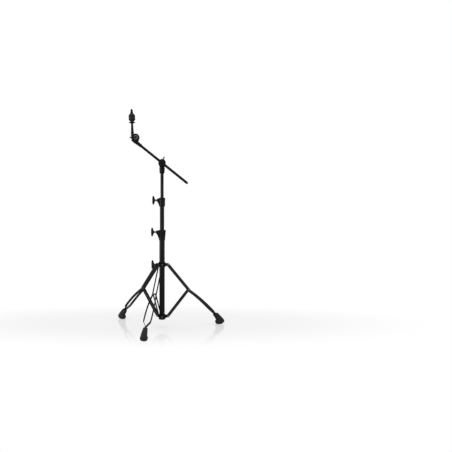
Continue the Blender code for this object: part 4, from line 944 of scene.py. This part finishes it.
def add_set_screw(matrix):
    """Slotted screw with a turned head that holds the rod."""
    head_height, crown_share, shank_share, chamfer = 0.0088, 0.82, 0.74, 0.0012
    slot_depth, slot_width = 0.0014, 0.0009
    foot, top = span("set_screw", matrix)
    wide = reach("set_screw", matrix)
    shank, head = wide * shank_share, top - head_height
    profile = [(0, top), (wide * crown_share, top), (wide, top - chamfer), (wide, head)]
    profile += [(shank, head), (shank, foot), (0, foot)]
    bm, cuts = bmesh.new(), bmesh.new()
    lathe(bm, fillet(profile, SMALL_EDGE, 3), matrix, SMALL_STEPS)
    plate(cuts, rectangle(-PAST, PAST, top - slot_depth, top + PAST), slot_width, matrix)
    add_piece("set_screw", worked("set_screw", bm, cuts), "black_bolt")


def cymbal_tilter():
    wing_span, wing_depth = 0.044, 0.013
    front_axis = CYMBAL_AXIS @ FACE_FRONT
    parting = span("tilter_rod_half", front_axis)[0] - GAP / 2
    back = parting + GAP / 2
    front = back + ROD_HALF_THICKNESS
    pad = ROD_LINE @ FACE_LEFT
    tilter_boom_half(front_axis, parting - GAP / 2)
    tilter_rod_half(back, front, pad)
    turn = Matrix.Rotation(math.pi + BOOM_ANGLE, 4, "Y")
    add_wing_bolt("cymbal_wing_bolt", CYMBAL_AXIS @ turn @ FACE_BACK, wing_span, wing_depth)
    add_nut(front_axis)
    add_nut_ring(front_axis, front)
    add_set_screw(pad)


# What stands on the rod


def add_felt(node, upside_down):
    """Pressed felt washer, its surface fuzzy and a little uneven."""
    bore, smooth_rim, rounding, cell, steps = 0.006, 0.0006, 0.0022, 0.0007, 120
    roughness = 0.00045
    foot, top = span(node, ROD_LINE)
    height = top - foot
    wide = reach(node, ROD_LINE)
    outer = [(wide * x, height * z) for x, z in FELT_SHAPE]
    profile = fillet([(bore, height)] + outer + [(bore, 0.0)], rounding, 7)
    fine = []
    for (r0, h0), (r1, h1) in zip(profile, profile[1:]):
        count = max(1, round(math.hypot(r1 - r0, h1 - h0) / cell))
        fine += [(r0 + (r1 - r0) * k / count, h0 + (h1 - h0) * k / count) for k in range(count)]
    fine.append(profile[-1])
    if upside_down:
        fine = [(radius, height - level) for radius, level in reversed(fine)]
    bm = bmesh.new()
    lathe(bm, [(radius, foot + level) for radius, level in fine], ROD_LINE, steps, ring=True)
    for vertex in bm.verts:
        local = ROD_LINE.inverted() @ vertex.co
        away = Vector((local.x, local.y, 0))
        if away.length >= bore + smooth_rim:
            outward = ROD_LINE.to_3x3() @ away.normalized()
            vertex.co += outward * felt_fuzz(vertex.co) * roughness
    piece = add_piece(node, mesh_from(bm, node), "felt")


def felt_fuzz(spot):
    """Fuzz at a spot, in felt roughnesses: fibres over lumps, partly inward."""
    fibres, falloff, step, layers, fibre_weight = 900, 1.0, 2.1, 3, 0.6
    lumps, lump_weight, sink = 260, 0.7, 0.3
    fuzz = noise.fractal(spot * fibres, falloff, step, layers) * fibre_weight
    return fuzz + noise.noise(spot * lumps) * lump_weight - sink


def add_wing_nut():
    base, barrel, half_span, drop, flare, waist_share = 0.0092, 0.0067, 0.02, 0.002, 0.003, 0.35
    root_share, root_place, dip_share, dip_place = 0.8, 0.12, 0.6, 0.72
    foot, top = span("wing_nut", ROD_LINE)
    rise, crown = top - foot, top - drop
    profile = [(0, crown), (barrel, crown), (barrel, foot + rise * waist_share)]
    profile += [(base, foot + flare), (base, foot), (0, foot)]
    bm, cuts = bmesh.new(), bmesh.new()
    lathe(bm, fillet(profile, EDGE), ROD_LINE)
    right = [(half_span * x, foot + rise * z) for x, z in WING_NUT_SHAPE]
    right.append((barrel * root_share, foot + rise * root_place))
    dip, dip_height = barrel * dip_share, foot + rise * dip_place
    outline = right + [(-x, z) for x, z in reversed(right)] + [(-dip, dip_height), (dip, dip_height)]
    plate(bm, flowing(outline), barrel, ROD_LINE @ Matrix.Rotation(math.pi / 2, 4, "Z"))
    rod(cuts, ROD_RADIUS + PLAY, foot - PAST, top + PAST, ROD_LINE, SMALL_STEPS)
    add_piece("wing_nut", worked("wing_nut", bm, cuts, WING_VOXEL, WING_PASSES), "black_bolt")


def cymbal_seat():
    thread_overlap = 0.004
    cup_land, cup_thickness, cup_share, cup_drop, cup_edge = 0.001, 0.0015, 0.75, 0.0012, 0.0006
    sleeve_wall, sleeve_flange, sleeve_edge = 0.0014, 0.0016, 0.0004
    foot, top = span("cymbal_rod", ROD_LINE)
    neck = span("rod_sleeve", ROD_LINE)[1]
    bm = bmesh.new()
    rod(bm, ROD_RADIUS, foot, neck, ROD_LINE, SMALL_STEPS)
    threaded(bm, ROD_RADIUS, neck - thread_overlap, top, ROD_LINE)
    add_piece("cymbal_rod", mesh_from(bm, "cymbal_rod"), "black_bolt")

    low, high = span("cup_washer", ROD_LINE)
    wide = reach("cup_washer", ROD_LINE)
    bore, land, shoulder = ROD_RADIUS + GAP, ROD_NECK_RADIUS + cup_land, wide * cup_share
    under = high - cup_thickness
    profile = [(bore, high), (land, high), (shoulder, high - cup_drop), (wide, low + cup_thickness)]
    profile += [(wide, low), (shoulder, under - cup_drop), (land, under), (bore, under)]
    add_turned("cup_washer", fillet(profile, cup_edge, closed=True), ROD_LINE, "black_casting", ring=True)

    low, high = span("rod_sleeve", ROD_LINE)
    flange = reach("rod_sleeve", ROD_LINE)
    outer, level = bore + sleeve_wall, low + sleeve_flange
    profile = [(outer, high), (outer, level), (flange, level), (flange, low), (bore, low), (bore, high)]
    add_turned("rod_sleeve", fillet(profile, sleeve_edge, 3, closed=True), ROD_LINE, "nylon", ring=True)
    add_felt("lower_felt", False)
    add_felt("upper_felt", True)
    add_wing_nut()


tripod()
clamp("base", BASE_RADIUS, foot_wall=0.0018, inner_radius=MID_RADIUS)
add_tube("mid_tube", MAST)
clamp("mid", MID_RADIUS, foot_wall=0.0042, inner_radius=UPPER_RADIUS)
add_tube("upper_tube", MAST)
add_wing_bolt("collar_wing_bolt", COLLAR_BOLT)
boom_tilter()
cymbal_tilter()
cymbal_seat()


# Stage


def background_rays(nodes, links):
    """1 for rays that should see the plain white background, else 0."""
    path = nodes.new("ShaderNodeLightPath")
    total = path.outputs["Is Camera Ray"]
    for name in ("Is Glossy Ray", "Is Transmission Ray"):
        total = combined(nodes, links, "MAXIMUM", total, path.outputs[name])
    return total


def combined(nodes, links, operation, first, second):
    made = nodes.new("ShaderNodeMath")
    made.operation = operation
    links.new(first, made.inputs[0])
    links.new(second, made.inputs[1])
    return made.outputs["Value"]


def mix_shaders(nodes, links, factor, first, second, output):
    mix = nodes.new("ShaderNodeMixShader")
    links.new(factor, mix.inputs["Fac"])
    links.new(first, mix.inputs[1])
    links.new(second, mix.inputs[2])
    links.new(mix.outputs["Shader"], nodes[output].inputs["Surface"])


def make_world():
    world = bpy.data.worlds.new("studio")
    bpy.context.scene.world = world
    world.use_nodes = True
    nodes, links = world.node_tree.nodes, world.node_tree.links
    soft, white = nodes["Background"], nodes.new("ShaderNodeBackground")
    put(soft, {"Color": (1, 1, 1, 1), "Strength": 0.6})
    put(white, {"Color": (1, 1, 1, 1), "Strength": 1.0})
    seen = background_rays(nodes, links)
    mix_shaders(nodes, links, seen, soft.outputs["Background"], white.outputs["Background"], "World Output")


def make_floor():
    """Pale glossy floor that takes the stand's shadow. A white glow, weakest in an oval round the stand, paints a
    soft grey pool of shade there and fades the floor to plain white away from it.
    """
    below_soles, painted_pool_radii, painted_pool_glow = 0.0004, (0.20, 0.70), 0.46
    bm = bmesh.new()
    bmesh.ops.create_circle(bm, cap_ends=True, segments=96, radius=9)
    floor = link("floor", mesh_from(bm, "floor"))
    floor.location = (MAST_AT.x, MAST_AT.y, -below_soles)
    material, nodes, links = new_material("studio_floor")
    shader, glow = nodes["Principled BSDF"], nodes.new("ShaderNodeEmission")
    put(shader, {"Base Color": (0.80, 0.80, 0.80, 1), "Roughness": 0.11, "Specular IOR Level": 0.5})
    put(glow, {"Strength": 1.0})
    # Painted shade: the glow's share is least in this oval round the stand, so the floor there is painted a soft
    # grey pool
    painted_pool = nodes.new("ShaderNodeMapping")
    put(painted_pool, {"Location": (0, -0.15, 0), "Scale": (0.4, 1, 1)})
    links.new(nodes.new("ShaderNodeTexCoord").outputs["Object"], painted_pool.inputs["Vector"])
    distance = nodes.new("ShaderNodeVectorMath")
    distance.operation = "LENGTH"
    links.new(painted_pool.outputs["Vector"], distance.inputs[0])
    painted_pool_share = ranged(nodes, links, distance.outputs["Value"], painted_pool_radii, (painted_pool_glow, 1))
    painted_pool_share.interpolation_type = "SMOOTHSTEP"
    seen = combined(nodes, links, "MULTIPLY", painted_pool_share.outputs["Result"], background_rays(nodes, links))
    mix_shaders(nodes, links, seen, shader.outputs["BSDF"], glow.outputs["Emission"], "Material Output")
    floor.data.materials.append(material)
    return floor


def softbox(name, width, height, power, spot, aim):
    """Area lamp, unseen by the camera, aimed at a height on the mast."""
    light = bpy.data.lights.new(name, "AREA")
    light.shape = "RECTANGLE"
    light.size = width
    light.size_y = height
    light.energy = power
    lamp = link(name, light)
    lamp.visible_camera = False
    lamp.location = spot
    target = Vector((MAST_AT.x, MAST_AT.y, aim))
    lamp.rotation_euler = (target - Vector(spot)).to_track_quat("-Z", "Y").to_euler()
    return lamp


def spare_floor(lamp, floor):
    """Keep a lamp off the glossy floor, which would mirror its edges in other views."""
    unlit = bpy.data.collections.new(lamp.name + "_unlit")
    unlit.objects.link(floor)
    unlit.collection_objects[0].light_linking.link_state = "EXCLUDE"
    lamp.light_linking.receiver_collection = unlit


def make_camera():
    """Camera straight before the mast, its lens shifted to put the stand left of the middle."""
    distance, height = 2.867, 0.5962
    data = bpy.data.cameras.new("camera")
    data.lens = 38.63
    data.shift_x = 0.1415
    camera = link("camera", data)
    camera.location = (MAST_AT.x, MAST_AT.y - distance, height)
    camera.rotation_euler = (math.pi / 2, 0, 0)
    bpy.context.scene.camera = camera


make_world()
studio_floor = make_floor()
softbox("top_box", width=2.4, height=2.4, power=34, spot=(MAST_AT.x, MAST_AT.y, 2.9), aim=0)
left_box = softbox("left_box", width=0.7, height=2.0, power=44, spot=(-2.3, -1.0, 1.3), aim=0.6)
right_box = softbox("right_box", width=0.35, height=1.8, power=14, spot=(2.3, -0.6, 1.3), aim=0.6)
spare_floor(left_box, studio_floor)
spare_floor(right_box, studio_floor)
make_camera()
bpy.context.scene.view_settings.view_transform = "Standard"
